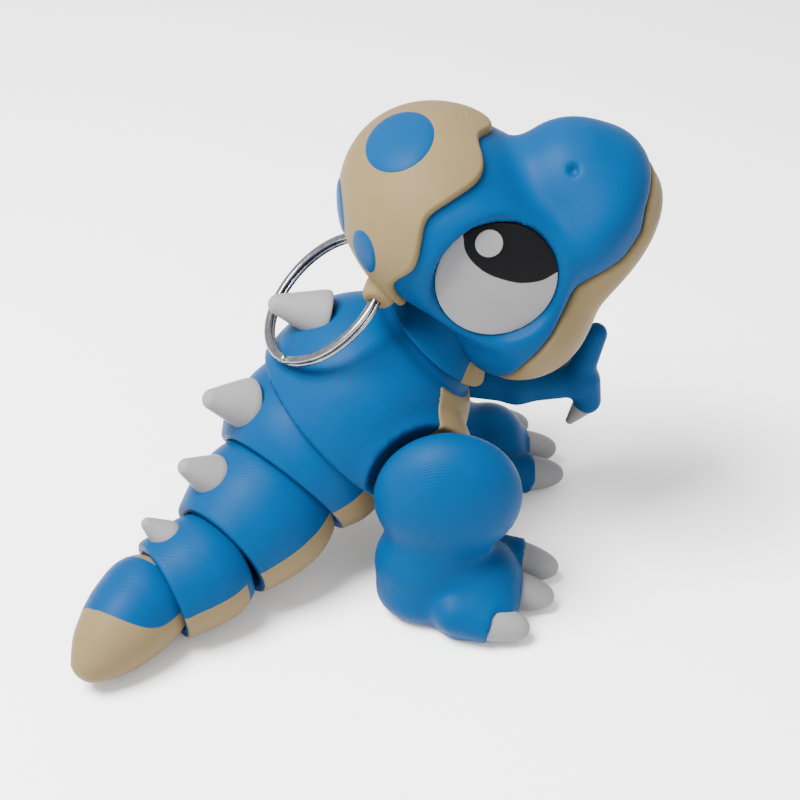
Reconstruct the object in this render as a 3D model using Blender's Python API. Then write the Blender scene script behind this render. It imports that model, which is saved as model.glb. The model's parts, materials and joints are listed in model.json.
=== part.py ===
# Articulated baby dinosaur key charm: bell-shaped body links on captive balls,
# cracked eggshell cap, swinging legs and arms, and a steel split ring.
# The animal looks along +X, +Z is up, its right side is -Y. Lengths below are millimetres.

import math

import bmesh
import bpy
import numpy as np
from mathutils import Matrix, Vector

MM = 0.001
GAP = 0.35            # running clearance inside the joints
SEAM = 0.06           # clearance between flush coloured pieces
COLUMNS = 20          # columns round a body link
NET_CELL = 2.8        # grid pitch used for the sculpted pieces

# centres of the captive balls that join the links, nose to tail
HEAD_BALL = (10.0, 0.7, 45.2)
NECK_BALL = (2.5, 0.0, 37.5)
WAIST_BALL = (-14.2, -2.5, 22.4)
TAIL1_BALL = (-23.3, -11.3, 14.6)
TAIL2_BALL = (-33.1, -21.4, 9.8)
TIP_BALL = (-42.0, -26.6, 8.05)
TAIL_END = (-51.0, -39.5, 4.7)
HEAD_POSE = (-2.0, 50.0, 4.0)       # yaw, pitch, roll in degrees
LINK_ROLL = -20.0                   # the body leans so its belly turns to the right
HIP_SEAT = (-7.3, 10.5, -12.3)      # hip ball in the level chest frame
RING_CENTRE = (-11.9, -2.0, 49.1)
RING_NORMAL = (-0.61, -0.19, 0.77)
RING_RADIUS = 11.8                  # to the middle of the wire stack
RING_WIRE = (0.65, 0.85)            # half width and half height of the wire stack
RING_ENTRY = (145.0, 222.0)         # where the wire goes in and out of the cap, round the ring
RING_SWING = 45.0                   # how far the passage lets the ring lift, degrees
FOOT_SEAT = {-1: (0.0, -21.2), 1: (4.6, 18.2)}   # forward shift and middle line of each foot
CALF_RADII = (8.4, 7.0, 8.4)
THIGH_OUT = 10.8                    # middle of the thigh, outward from the hip ball
HAUNCH_SEAT = (-11.0, 11.3, -6.4)   # bulge of the chest over each hip
HAUNCH_RADII = (10.6, 8.8, 11.4)
SHOULDER_SEAT = (-1.5, 5.0, -9.5)   # shoulder ball in the chest frame
SHOULDER = (8.8, 9.6, 26.6)
ELBOW = (20.5, 8.8, 24.2)

BELLY_HALF = 74.0     # half angle of the belly strip, degrees
TONGUE_HALF = 50.0    # half angle of the collar's narrow belly strip
BACK_HALF = 100.0     # half angle of the blue saddle on the tail tip
BELLY_DEPTH = 0.7     # how far the strips are sunk into a link
SKIRT_WALL = 1.5      # wall of a link's skirt at its rim
THROAT = 0.93         # socket mouth over ball radius, below 1 so the ball stays captive
STALK = 0.38          # stalk over ball radius
FACET = 0.98          # a flat facet's middle lies this much nearer the axis than its corners
FLAT = 0.004          # faces closer than this angle count as one plane, radians

BLUE = (0.006, 0.27, 0.72)
TAN = (0.66, 0.56, 0.36)
WHITE = (0.72, 0.72, 0.74)
BLACK = (0.012, 0.012, 0.014)
STEEL = (0.62, 0.62, 0.64)


def clear_scene():
    for obj in list(bpy.data.objects):
        bpy.data.objects.remove(obj, do_unlink=True)


def material(name, colour, rough, metal=0.0):
    mat = bpy.data.materials.new(name)
    mat.use_nodes = True
    shader = mat.node_tree.nodes["Principled BSDF"]
    shader.inputs["Base Color"].default_value = (*colour, 1.0)
    shader.inputs["Roughness"].default_value = rough
    shader.inputs["Metallic"].default_value = metal
    mat.diffuse_color = (*colour, 1.0)
    return mat


# ---------------------------------------------------------------- frames

def pose_matrix(origin, yaw, pitch, roll):
    y, p, r = np.radians([yaw, pitch, roll])
    rz = np.array([[np.cos(y), -np.sin(y), 0], [np.sin(y), np.cos(y), 0], [0, 0, 1]])
    ry = np.array([[np.cos(p), 0, -np.sin(p)], [0, 1, 0], [np.sin(p), 0, np.cos(p)]])
    rx = np.array([[1, 0, 0], [0, np.cos(r), -np.sin(r)], [0, np.sin(r), np.cos(r)]])
    return rz @ ry @ rx, np.array(origin, float)


def place(frame, pts):
    rot, origin = frame
    return np.atleast_2d(pts) @ rot.T + origin


def link_frame(front, rear, roll=LINK_ROLL):
    """Frame at the front ball with x running from the rear ball to the front one."""
    front = np.array(front, float)
    x = front - np.array(rear, float)
    x /= np.linalg.norm(x)
    y = np.cross((0, 0, 1), x)
    y /= np.linalg.norm(y)
    z = np.cross(x, y)
    c, s = math.cos(math.radians(roll)), math.sin(math.radians(roll))
    return np.stack([x, c * y + s * z, c * z - s * y], axis=1), front


def turned(frame):
    """The same frame rolled half a turn, so that the belly side faces up."""
    rot, origin = frame
    return rot * (1, -1, -1), origin


def span(front, rear):
    return float(np.linalg.norm(np.array(front) - np.array(rear)))


# ---------------------------------------------------------------- mesh helpers

def add_object(name, verts, faces, mat, origin=(0, 0, 0)):
    origin = np.array(origin, float)
    local = np.asarray(verts) - origin
    mesh = bpy.data.meshes.new(name)
    mesh.from_pydata([tuple(v) for v in local], [], [tuple(f) for f in faces])
    mesh.validate()
    mesh.update()
    mesh.materials.append(mat)
    mesh.polygons.foreach_set("use_smooth", [True] * len(mesh.polygons))
    obj = bpy.data.objects.new(name, mesh)
    obj.location = Vector(origin)
    bpy.context.scene.collection.objects.link(obj)
    return obj


def face_out(work):
    bmesh.ops.recalc_face_normals(work, faces=work.faces)
    if work.calc_volume(signed=True) < 0:
        bmesh.ops.reverse_faces(work, faces=work.faces)


def triangulate(mesh):
    work = bmesh.new()
    work.from_mesh(mesh)
    bmesh.ops.remove_doubles(work, verts=work.verts, dist=0.0001)
    bmesh.ops.dissolve_degenerate(work, edges=work.edges, dist=0.0001)
    bmesh.ops.triangulate(work, faces=work.faces)
    face_out(work)
    work.to_mesh(mesh)
    work.free()


def flatten(mesh):
    """Join the triangles that lie in one plane again, unless that would open the skin."""
    work = bmesh.new()
    work.from_mesh(mesh)
    bmesh.ops.remove_doubles(work, verts=work.verts, dist=0.0001)
    bmesh.ops.dissolve_limit(work, angle_limit=FLAT, verts=work.verts, edges=work.edges)
    face_out(work)
    if all(len(edge.link_faces) == 2 for edge in work.edges):
        work.to_mesh(mesh)
    work.free()


def keep_largest(obj):
    """Drop every loose scrap but the biggest one."""
    work = bmesh.new()
    work.from_mesh(obj.data)
    left = set(work.verts)
    islands = []
    while left:
        island = {left.pop()}
        frontier = list(island)
        while frontier:
            vert = frontier.pop()
            for link in vert.link_edges:
                other = link.other_vert(vert)
                if other in left:
                    left.remove(other)
                    island.add(other)
                    frontier.append(other)
        islands.append(island)
    islands.sort(key=len)
    for island in islands[:-1]:
        bmesh.ops.delete(work, geom=list(island), context='VERTS')
    work.to_mesh(obj.data)
    work.free()


def boolean(obj, cutter, operation="DIFFERENCE"):
    triangulate(obj.data)
    triangulate(cutter.data)
    mod = obj.modifiers.new("cut", 'BOOLEAN')
    mod.operation = operation
    mod.solver = 'EXACT'
    mod.object = cutter
    cutter.hide_render = True
    cutter.display_type = 'WIRE'
    graph = bpy.context.evaluated_depsgraph_get()
    mesh = bpy.data.meshes.new_from_object(obj.evaluated_get(graph))
    obj.modifiers.remove(mod)
    obj.data = mesh
    flatten(mesh)
    bpy.data.objects.remove(cutter, do_unlink=True)


def revolve(profile, columns=COLUMNS, recess=None, sector=BELLY_HALF):
    """Closed solid from an (x, r) profile whose two end points lie on the x axis.
    recess: (first, last, depth) profile rows lowered inside the belly sector."""
    profile = np.array(profile, float)
    angles = [math.tau * i / columns for i in range(columns)]
    lows = [False] * columns
    if recess:
        half = math.radians(sector)
        angles = []
        lows = []
        inner = 8
        for i in range(inner + 1):
            angles.append(-half + 2 * half * i / inner)
            lows.append(True)
        outer = columns - inner
        for i in range(outer + 1):
            angles.append(half + (math.tau - 2 * half) * i / outer)
            lows.append(False)
    count = len(angles)
    verts = [(profile[0][0], 0, 0)]
    rows = []
    for k, (x, r) in enumerate(profile[1:-1], start=1):
        row = []
        for ang, low in zip(angles, lows):
            rr = r
            if recess and low and recess[0] <= k <= recess[1]:
                rr = r - recess[2]
            row.append(len(verts))
            verts.append((x, rr * math.sin(ang), -rr * math.cos(ang)))
        rows.append(row)
    verts.append((profile[-1][0], 0, 0))
    last = len(verts) - 1
    faces = []
    for i in range(count):
        j = (i + 1) % count
        faces.append((0, rows[0][j], rows[0][i]))
        for a, b in zip(rows, rows[1:]):
            faces.append((a[i], a[j], b[j], b[i]))
        faces.append((last, rows[-1][i], rows[-1][j]))
    return weld(verts, faces)


def weld(verts, faces):
    """Merge coincident vertices and drop the faces that collapse."""
    keys = {}
    remap = []
    out = []
    for v in verts:
        key = tuple(round(c, 4) for c in v)
        if key not in keys:
            keys[key] = len(out)
            out.append(v)
        remap.append(keys[key])
    kept = []
    for face in faces:
        ring = []
        for i in face:
            m = remap[i]
            if m not in ring:
                ring.append(m)
        if len(ring) > 2:
            kept.append(ring)
    return np.array(out), kept


def outward(verts, faces):
    """Flip all faces when the enclosed volume comes out negative."""
    verts = np.asarray(verts)
    total = 0.0
    for face in faces:
        a = verts[face[0]]
        for i in range(1, len(face) - 1):
            total += np.dot(a, np.cross(verts[face[i]], verts[face[i + 1]]))
    if total < 0:
        faces = [tuple(reversed(f)) for f in faces]
    return verts, faces


def arc(cx, radius, start, stop, steps):
    """Profile points on a circle about (cx, 0); angles in degrees from +x."""
    angles = np.radians(np.linspace(start, stop, steps))
    return [(cx + radius * math.cos(a), radius * math.sin(a)) for a in angles]


# ---------------------------------------------------------------- sculpting by distance fields

def ellipsoid(p, centre, radii):
    q = (p - np.array(centre)) / np.array(radii)
    k0 = np.linalg.norm(q, axis=1)
    k1 = np.linalg.norm(q / np.array(radii), axis=1)
    return k0 * (k0 - 1.0) / np.maximum(k1, 1e-9)


def capsule(p, a, b, ra, rb):
    a = np.array(a, float)
    b = np.array(b, float)
    axis = b - a
    t = np.clip((p - a) @ axis / (axis @ axis), 0, 1)
    near = a + t[:, None] * axis
    return np.linalg.norm(p - near, axis=1) - (ra + (rb - ra) * t)


def rounded_box(p, centre, half, radius):
    q = np.abs(p - np.array(centre)) - (np.array(half) - radius)
    outside = np.linalg.norm(np.maximum(q, 0), axis=1)
    return outside + np.minimum(q.max(axis=1), 0) - radius


def blend(a, b, k):
    h = np.clip(0.5 + 0.5 * (b - a) / k, 0, 1)
    return b + (a - b) * h - k * h * (1 - h)


def surface_net(field, low, high, cell=NET_CELL):
    """Closed quad skin of field(points) = 0 inside the given box."""
    low = np.array(low, float)
    counts = np.ceil((np.array(high) - low) / cell).astype(int) + 1
    axes = [low[i] + cell * np.arange(counts[i]) for i in range(3)]
    grid = np.stack(np.meshgrid(*axes, indexing="ij"), axis=-1)
    val = field(grid.reshape(-1, 3)).reshape(counts)
    total = np.zeros((*(counts - 1), 3))
    hits = np.zeros(counts - 1)
    quads = []
    ids = np.arange(np.prod(counts - 1)).reshape(counts - 1)
    for axis in range(3):
        v0 = np.take(val, range(counts[axis] - 1), axis)
        v1 = np.take(val, range(1, counts[axis]), axis)
        p0 = np.take(grid, range(counts[axis] - 1), axis)
        cross = (v0 < 0) != (v1 < 0)
        t = np.where(cross, v0 / np.where(cross, v0 - v1, 1), 0)
        pts = p0.copy()
        pts[..., axis] += t * cell
        u, w = [a for a in range(3) if a != axis]
        for du in (0, 1):
            for dw in (0, 1):
                src = [slice(None)] * 3
                src[u] = slice(du, du + counts[u] - 1)
                src[w] = slice(dw, dw + counts[w] - 1)
                src = tuple(src)
                hits += cross[src]
                total += np.where(cross[src][..., None], pts[src], 0)
        for idx in np.argwhere(cross):
            cells = []
            for du, dw in ((-1, -1), (0, -1), (0, 0), (-1, 0)):
                c = list(idx)
                c[u] += du
                c[w] += dw
                cells.append(ids[tuple(c)])
            if (v0[tuple(idx)] < 0) == (axis == 1):
                cells.reverse()
            quads.append(cells)
    used = np.flatnonzero(hits.reshape(-1))
    index = {c: i for i, c in enumerate(used)}
    verts = total.reshape(-1, 3)[used] / hits.reshape(-1)[used][:, None]
    faces = [[index[c] for c in q] for q in quads]
    step = 0.05
    for _ in range(3):
        val = field(verts)
        grad = np.stack([field(verts + step * e) - field(verts - step * e) for e in np.eye(3)], 1)
        grad /= 2 * step
        verts = verts - 0.8 * (val / np.maximum((grad ** 2).sum(1), 1e-6))[:, None] * grad
    return outward(verts, faces)


def radial_depth(field, centre, directions, reach):
    """Distance from centre to the field surface along unit directions."""
    low = np.zeros(len(directions))
    high = np.full(len(directions), float(reach))
    for _ in range(30):
        mid = (low + high) / 2
        inside = field(np.array(centre) + directions * mid[:, None]) < 0
        low = np.where(inside, mid, low)
        high = np.where(inside, high, mid)
    return (low + high) / 2


# ---------------------------------------------------------------- body links

def socket_part(ball, dome, flat_angle, flare):
    """Captive socket, flared mouth and front dome of a link, ball centre at the origin.
    flare: tangent of the angle the stalk may lean in the mouth."""
    hole = ball + GAP
    throat = math.degrees(math.asin(THROAT * ball * FACET / hole))
    mouth = dome * math.cos(math.radians(flat_angle))
    points = arc(0, hole / FACET, 180, throat, 4)
    points.append((mouth, THROAT * ball + flare * mouth))
    points += arc(0, dome, flat_angle, 88, 3)
    return points


def skirt_part(length, ball, inner, rim_x, flat_angle):
    """Rear rim, inside of the skirt, stalk and ball of a link."""
    open_angle = math.degrees(math.acos(rim_x / inner))
    rim = inner * math.sin(math.radians(open_angle))
    front = -length + inner * math.cos(math.radians(flat_angle))
    stalk = STALK * ball
    points = [(-length + rim_x + 0.5, rim + SKIRT_WALL), (-length + rim_x, rim + 0.8 * SKIRT_WALL)]
    points += arc(-length, inner / FACET, open_angle, flat_angle, 4)
    points.append((front, stalk + 0.3))
    points += arc(-length, ball, math.degrees(math.asin(stalk / ball)), 180, 4)
    return points


def link_solids(frame, head, body, tail, sector=BELLY_HALF):
    """Shell of one link with its belly recess, and the strip that fills the recess."""
    start = body[0]
    if start[0] > head[-1][0]:
        head = head + [(start[0], start[1] - 1.2)]
        profile = head + [start, (start[0] - SEAM, start[1])] + body[1:] + tail
        first = len(head) + 1
    else:
        shoulder = head[-2]
        profile = head[:-1] + [(shoulder[0] - SEAM, shoulder[1] + 0.5 * SEAM), head[-1]] + body + tail
        first = len(head) - 1
    last = len(head) + len(body) + 2
    verts, faces = outward(*revolve(profile, recess=(first, last, BELLY_DEPTH), sector=sector))
    strip = belly_strip(frame, profile[first:last + 1], sector)
    return (place(frame, verts), faces), strip


def belly_strip(frame, outer, sector):
    """Flush strip that fills the recess left in a link's skin."""
    half = math.radians(sector) - SEAM / 10
    outer = [(outer[0][0] - 2 * SEAM, outer[0][1])] + outer[1:]
    ring = outer + [(x, r - BELLY_DEPTH + 2 * SEAM) for x, r in reversed(outer)]
    verts = []
    rows = []
    for ang in np.linspace(-half, half, 9):
        rows.append(range(len(verts), len(verts) + len(ring)))
        verts += [(x, r * math.sin(ang), -r * math.cos(ang)) for x, r in ring]
    faces = [list(reversed(rows[0])), list(rows[-1])]
    n = len(ring)
    for a, b in zip(rows, rows[1:]):
        for i in range(n):
            j = (i + 1) % n
            faces.append((a[i], a[j], b[j], b[i]))
    verts, faces = outward(verts, faces)
    return place(frame, verts), faces


def cone_solid(frame, length, base, sink, tip_round):
    """Blunt cone along the frame's x axis with a straight root of depth `sink`."""
    profile = [(-sink, 0), (-sink, base), (0, base), (0.45 * length, 0.66 * base)]
    profile += arc(length - tip_round, tip_round, 55, 0, 3)
    verts, faces = outward(*revolve(profile, columns=12))
    return place(frame, verts), faces


def root_cutter(frame, base, sink, mat):
    profile = [(-sink - SEAM, 0), (-sink - SEAM, base + SEAM), (9, base + SEAM), (9, 0)]
    verts, faces = outward(*revolve(profile, columns=12))
    return add_object("cutter", place(frame, verts), faces, mat)


def axis_frame(origin, direction):
    x = np.array(direction, float)
    x /= np.linalg.norm(x)
    y = np.cross((0, 0, 1), x)
    if np.linalg.norm(y) < 1e-6:
        y = np.array((0.0, 1.0, 0.0))
    y /= np.linalg.norm(y)
    return np.stack([x, y, np.cross(x, y)], axis=1), np.array(origin, float)


def add_spike(name, links, shell, seat, size, mats):
    """White back spike set in a pocket of the shell.
    seat: x and z of its root centre and the roll of the back line; size: length, radius."""
    frame = link_frame(*links, seat[2])
    rot, _ = frame
    lean = math.radians(30)
    spot = place(frame, (seat[0], 0, seat[1]))[0]
    direction = rot @ np.array((-math.sin(lean), 0, math.cos(lean)))
    local = axis_frame(spot, direction)
    length, base = size
    verts, faces = cone_solid(local, length, base, 1.0, 0.42 * base)
    boolean(shell, root_cutter(local, base, 1.0, mats["cut"]))
    return add_object(name, verts, faces, mats["white"], shell.location)


# ---------------------------------------------------------------- head

def head_field(p):
    """Skull, cheeks, throat and bulbous snout in head coordinates."""
    skull = ellipsoid(p, (12.0, 0, 13.1), (14.2, 18.0, 17.3))
    throat = ellipsoid(p, (7.9, 0, -4.2), (12.8, 17.4, 12.9))
    snout = ellipsoid(p, (25.2, 0, -1.5), (13.5, 14.8, 8.7))
    bridge = ellipsoid(p, (26.9, 0, 4.4), (9.7, 9.2, 8.0))
    jaw = ellipsoid(p, (21.0, 0, -7.9), (14.9, 12.0, 5.5))
    d = blend(skull, throat, 5.0)
    d = blend(d, bridge, 4.0)
    d = blend(d, snout, 5.0)
    return blend(d, jaw, 4.0)


# ---------------------------------------------------------------- build

def build():
    clear_scene()
    mats = {
        "blue": material("azure_plastic", BLUE, 0.42),
        "tan": material("tan_plastic", TAN, 0.48),
        "white": material("white_plastic", WHITE, 0.45),
        "black": material("black_plastic", BLACK, 0.35),
        "steel": material("split_ring_steel", STEEL, 0.25, 1.0),
        "cut": material("cutter", (1, 0, 1), 0.5),
    }
    build_links(mats)
    build_head(mats)
    finish()


def finish():
    """Put the footprint's middle at the origin and the base on z = 0, then turn into metres."""
    bpy.context.view_layer.update()
    objects = list(bpy.data.objects)
    points = [np.array(obj.matrix_world @ v.co) for obj in objects for v in obj.data.vertices]
    low, high = np.min(points, axis=0), np.max(points, axis=0)
    shift = Vector(((low[0] + high[0]) / 2, (low[1] + high[1]) / 2, low[2]))
    for obj in objects:
        obj.data.transform(Matrix.Scale(MM, 4))
        obj.location = (obj.location - shift) * MM


def build_links(mats):
    """Collar, chest, abdomen and tail, each a bell whose skirt covers the next dome."""
    specs = [
        # name, front ball, rear ball, ball radius, dome, flat, body, next ball, next inner, rim x, next flat
        ("neck_collar", HEAD_BALL, NECK_BALL, 2.0, 9.2, 58, [(-2.6, 9.0), (-4.6, 9.9)], 10.5, 4.0, 45),
        ("chest", NECK_BALL, WAIST_BALL, 2.0, 10.1, 57,
         [(1.5, 11.6), (-1.0, 13.8), (-4.5, 16.0), (-9.0, 17.2), (-13.5, 17.3)], 15.8, 4.0, 17),
        ("abdomen", WAIST_BALL, TAIL1_BALL, 2.6, 15.05, 50, [(-3.0, 15.3), (-6.5, 14.6)], 12.7, 5.2, 29),
        ("tail_one", TAIL1_BALL, TAIL2_BALL, 2.4, 12.3, 54, [(-3.0, 12.1), (-6.0, 11.3)], 9.7, 4.7, 18),
        ("tail_two", TAIL2_BALL, TIP_BALL, 2.0, 9.3, 50, [(-2.5, 9.2), (-4.5, 8.9)], 8.0, 3.4, 25),
    ]
    balls = [2.0, 2.0, 2.6, 2.4, 2.0, 1.8]
    flares = [0.42, 0.42, 0.85, 0.6, 0.65]
    parts = {}
    for i, (name, front, rear, ball, dome, flat, body, inner, rim_x, next_flat) in enumerate(specs):
        frame = link_frame(front, rear)
        length = span(front, rear)
        head = socket_part(balls[i], dome, flat, flares[i])
        tail = skirt_part(length, balls[i + 1], inner, rim_x, next_flat)
        sector = TONGUE_HALF if name == "neck_collar" else BELLY_HALF
        shell, strip = link_solids(frame, head, body, tail, sector)
        pivot = rear if name == "neck_collar" else front
        parts[name] = add_object(name, *shell, mats["blue"], pivot)
        parts[name + "_belly"] = add_object(name + "_belly", *strip, mats["tan"], pivot)
    tip_frame = link_frame(TIP_BALL, TAIL_END)
    tip_len = span(TIP_BALL, TAIL_END)
    head = socket_part(1.8, 7.6, 54, 0.95)
    body = [(-0.6, 7.6), (-4.5, 7.3), (-8.0, 6.4)]
    tail = [(-11.5, 5.1), (-tip_len + 2.2, 3.5), (-tip_len + 0.5, 2.2), (-tip_len, 0)]
    shell, strip = link_solids(turned(tip_frame), head, body, tail, BACK_HALF)
    add_object("tail_tip", *shell, mats["tan"], TIP_BALL)
    add_object("tail_tip_back", *strip, mats["blue"], TIP_BALL)
    belly = parts["chest_belly"]
    for side in (-1, 1):
        add_haunch(parts["chest"], belly, side, mats)
    build_leg("leg_right", -1, parts["chest"], belly, mats)
    build_leg("leg_left", 1, parts["chest"], belly, mats)
    build_arm(parts["chest"], belly, mats)
    keep_largest(belly)
    add_spike("chest_spike", (NECK_BALL, WAIST_BALL), parts["chest"], (-6.3, 15.9, -7), (8.8, 4.2), mats)
    add_spike("abdomen_spike", (WAIST_BALL, TAIL1_BALL), parts["abdomen"], (-4.2, 14.9, -20), (7.6, 4.3), mats)
    add_spike("tail_one_spike", (TAIL1_BALL, TAIL2_BALL), parts["tail_one"], (-4.2, 11.4, -20), (6.2, 3.6), mats)
    add_spike("tail_two_spike", (TAIL2_BALL, TIP_BALL), parts["tail_two"], (-3.2, 8.5, -20), (4.6, 2.7), mats)


CLAW = (7.6, 3.3)        # length and root radius of a toe claw


def toe_claws(side):
    """Root point and tip of the three toe claws, inner one first."""
    if side < 0:
        tips = [(26.2, -14.9), (24.6, -22.2), (19.8, -29.6)]
    else:
        tips = [(30.2, 11.4), (29.8, 19.3), (25.4, 27.0)]
    turn = (0.96, side * 0.28)
    roots = [(x - CLAW[0] * turn[0], y - CLAW[0] * turn[1] * 0.6) for x, y in tips]
    return [((rx, ry, 3.9), (tx, ty, 2.4)) for (rx, ry), (tx, ty) in zip(roots, tips)]


def calf_seat(side):
    shift, mid = FOOT_SEAT[side]
    return 3.4 + shift * 0.6, mid - side * 1.0, 10.0


def leg_field(side, hip):
    """Round thigh centred on the hip axis above a broad flat-soled foot."""
    shift, mid = FOOT_SEAT[side]
    thigh_mid = hip[1] + side * THIGH_OUT

    def field(p):
        thigh = ellipsoid(p, (hip[0], thigh_mid, hip[2]), (11.8, 7.0, 11.4))
        calf = ellipsoid(p, calf_seat(side), CALF_RADII)
        heel = ellipsoid(p, (3.6 + shift, mid - side * 0.8, 4.0), (8.2, 6.8, 5.2))
        toes = rounded_box(p, (11.6 + shift, mid + side * 0.2, 3.6), (6.6, 8.6, 5.0), 4.0)
        instep = ellipsoid(p, (12.0 + shift, mid - side * 0.5, 6.2), (7.0, 7.2, 6.6))
        d = blend(calf, blend(blend(heel, toes, 3.0), instep, 3.0), 3.0)
        return np.maximum(blend(thigh, d, 2.2), -p[:, 2])

    return field


def ball_mesh(radii, columns=20, rows=10):
    verts, faces = outward(*revolve(arc(0, 1.0, 180, 0, rows), columns=columns))
    return np.asarray(verts) * radii, faces


def haunch_mesh(side, grow):
    verts, faces = ball_mesh(np.array(HAUNCH_RADII) + grow)
    verts = verts + (HAUNCH_SEAT[0], side * HAUNCH_SEAT[1], HAUNCH_SEAT[2])
    return place(link_frame(NECK_BALL, WAIST_BALL, 0.0), verts), faces


def add_haunch(chest, belly, side, mats):
    """Bulge of the chest over one hip, kept clear of the space the abdomen turns in."""
    level = link_frame(NECK_BALL, WAIST_BALL, 0.0)
    length = span(NECK_BALL, WAIST_BALL)
    bulge = add_object("haunch", *haunch_mesh(side, 0.0), mats["blue"])
    profile = [(-60, 0), (-60, 30), (-length + 4.7, 30), (-length + 4.7, 16.0)] + arc(-length, 16.7, 73, 0, 6)
    verts, faces = outward(*revolve(profile, columns=20))
    boolean(bulge, add_object("hollow", place(level, verts), faces, mats["blue"]))
    boolean(chest, bulge, "UNION")
    boolean(belly, add_object("haunch", *haunch_mesh(side, 0.12), mats["cut"]))


def build_leg(name, side, chest, belly, mats):
    level = link_frame(NECK_BALL, WAIST_BALL, 0.0)
    hip = place(level, (HIP_SEAT[0], side * HIP_SEAT[1], HIP_SEAT[2]))[0]
    peg = axis_frame(hip, (0, side, 0))
    field = leg_field(side, hip)
    low = (-14, min(side * 3, side * 36), -2.6)
    high = (36, max(side * 3, side * 36), 42)
    verts, faces = surface_net(field, low, high)
    flat = verts[:, 2] < 0.2
    verts[flat, 2] = 0.0
    leg = add_object(name, verts, faces, mats["blue"], hip)
    # stalk and ball that snap into the chest
    profile = arc(0, 2.1, 180, 32, 4) + [(8.5, 1.1), (8.5, 0)]
    verts, faces = outward(*revolve(profile, columns=12))
    boolean(leg, add_object("peg", place(peg, verts), faces, mats["blue"]), "UNION")
    for i, (root, tip) in enumerate(toe_claws(side)):
        local = axis_frame(root, np.array(tip) - np.array(root))
        length = float(np.linalg.norm(np.array(tip) - np.array(root)))
        verts, faces = cone_solid(local, length, CLAW[1], 2.5, 1.3)
        boolean(leg, root_cutter(local, CLAW[1], 2.5, mats["cut"]))
        add_object("%s_claw_%s" % (name, ("inner", "middle", "outer")[i]), verts, faces, mats["white"], hip)
    # room in the chest: ball socket, stalk hole and thigh clearance
    profile = arc(0, 2.1 + GAP, 180, 45, 4) + [(2.4, 1.75), (16, 1.75), (16, 0)]
    verts, faces = outward(*revolve(profile, columns=12))
    boolean(chest, add_object("socket", place(peg, verts), faces, mats["cut"]))
    for piece in (chest, belly):
        verts, faces = ball_mesh((8.0, 13.2, 13.2))
        verts = place(peg, verts + (THIGH_OUT, 0, 0))
        boolean(piece, add_object("room", verts, faces, mats["cut"]))
        verts, faces = ball_mesh(np.array(CALF_RADII) + 2.0, 16, 8)
        boolean(piece, add_object("room", verts + calf_seat(side), faces, mats["cut"]))


def patch(centre, axis, outline, inner, outer, rings=4):
    """Closed slab over the head skin. outline: (a, b) points in millimetres on the plane
    through the skin at right angles to the axis; inner and outer are skin offsets."""
    centre = np.array(centre, float)
    rot, _ = axis_frame((0, 0, 0), axis)
    reach = radial_depth(head_field, centre, rot[:, 0][None], 60)[0]
    outline = np.array(outline, float)
    middle = outline.mean(axis=0)
    points = [middle]
    for k in range(1, rings + 1):
        points += list(middle + (outline - middle) * k / rings)
    points = np.array(points)
    rays = rot[:, 0] * reach + points[:, :1] * rot[:, 1] + points[:, 1:] * rot[:, 2]
    rays /= np.linalg.norm(rays, axis=1)[:, None]
    depth = radial_depth(head_field, centre, rays, 60)
    edge = np.repeat(np.arange(rings + 1), [1] + [len(outline)] * rings) / rings
    top = centre + rays * (depth + outer(edge))[:, None]
    low = centre + rays * (depth + inner)[:, None]
    n = len(outline)
    total = len(points)
    faces = []
    for i in range(n):
        j = (i + 1) % n
        faces.append((0, 1 + i, 1 + j))
        faces.append((total, total + 1 + j, total + 1 + i))
        for k in range(rings - 1):
            a, b = 1 + k * n, 1 + (k + 1) * n
            faces.append((a + i, b + i, b + j, a + j))
            faces.append((total + a + j, total + b + j, total + b + i, total + a + i))
        last = 1 + (rings - 1) * n
        faces.append((last + i, total + last + i, total + last + j, last + j))
    return outward(np.concatenate([top, low]), faces)


def oval(centre, radii, turn=0.0, count=18):
    angles = np.arange(count) * math.tau / count
    c, s = math.cos(math.radians(turn)), math.sin(math.radians(turn))
    a = radii[0] * np.cos(angles)
    b = radii[1] * np.sin(angles)
    return np.stack([centre[0] + c * a - s * b, centre[1] + s * a + c * b], axis=1)


EYE_RADIUS = 9.6
EYE_CENTRE = (14.8, 15.5, 7.2)
EYE_CORE = (13.0, 0.0, 6.5)
GAZE = (0.98, 0.0, 0.12)  # the pupil sits on this side of the eye
LID_EDGE = 0.23          # where the pupil's inner edge crosses the middle, in eye radii


def eye_outlines(axis):
    """Pupil and white outlines inside the eye circle, measured on the eye plane."""
    rot, _ = axis_frame((0, 0, 0), axis)
    up = np.array((np.dot(GAZE, rot[:, 1]), np.dot(GAZE, rot[:, 2])))
    up /= np.linalg.norm(up)
    across = np.array((-up[1], up[0]))
    half = 1.04
    rim = [(math.sin(t), math.cos(t)) for t in np.linspace(-half, half, 10)]
    corner = rim[0]
    lower = []
    for t in np.linspace(1, -1, 8)[1:-1]:
        lower.append((t * -corner[0], corner[1] - (corner[1] - LID_EDGE) * (1 - t * t)))
    rest = [(math.sin(t), math.cos(t)) for t in np.linspace(half, math.tau - half, 18)]
    both = []
    for shape in (rim + lower, rest + list(reversed(lower))):
        pts = np.array([a * across + b * up for a, b in shape]) * EYE_RADIUS
        mid = pts.mean(axis=0)
        both.append(mid + (pts - mid) * (1 - SEAM / EYE_RADIUS))
    return both[0], both[1], up, across


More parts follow.
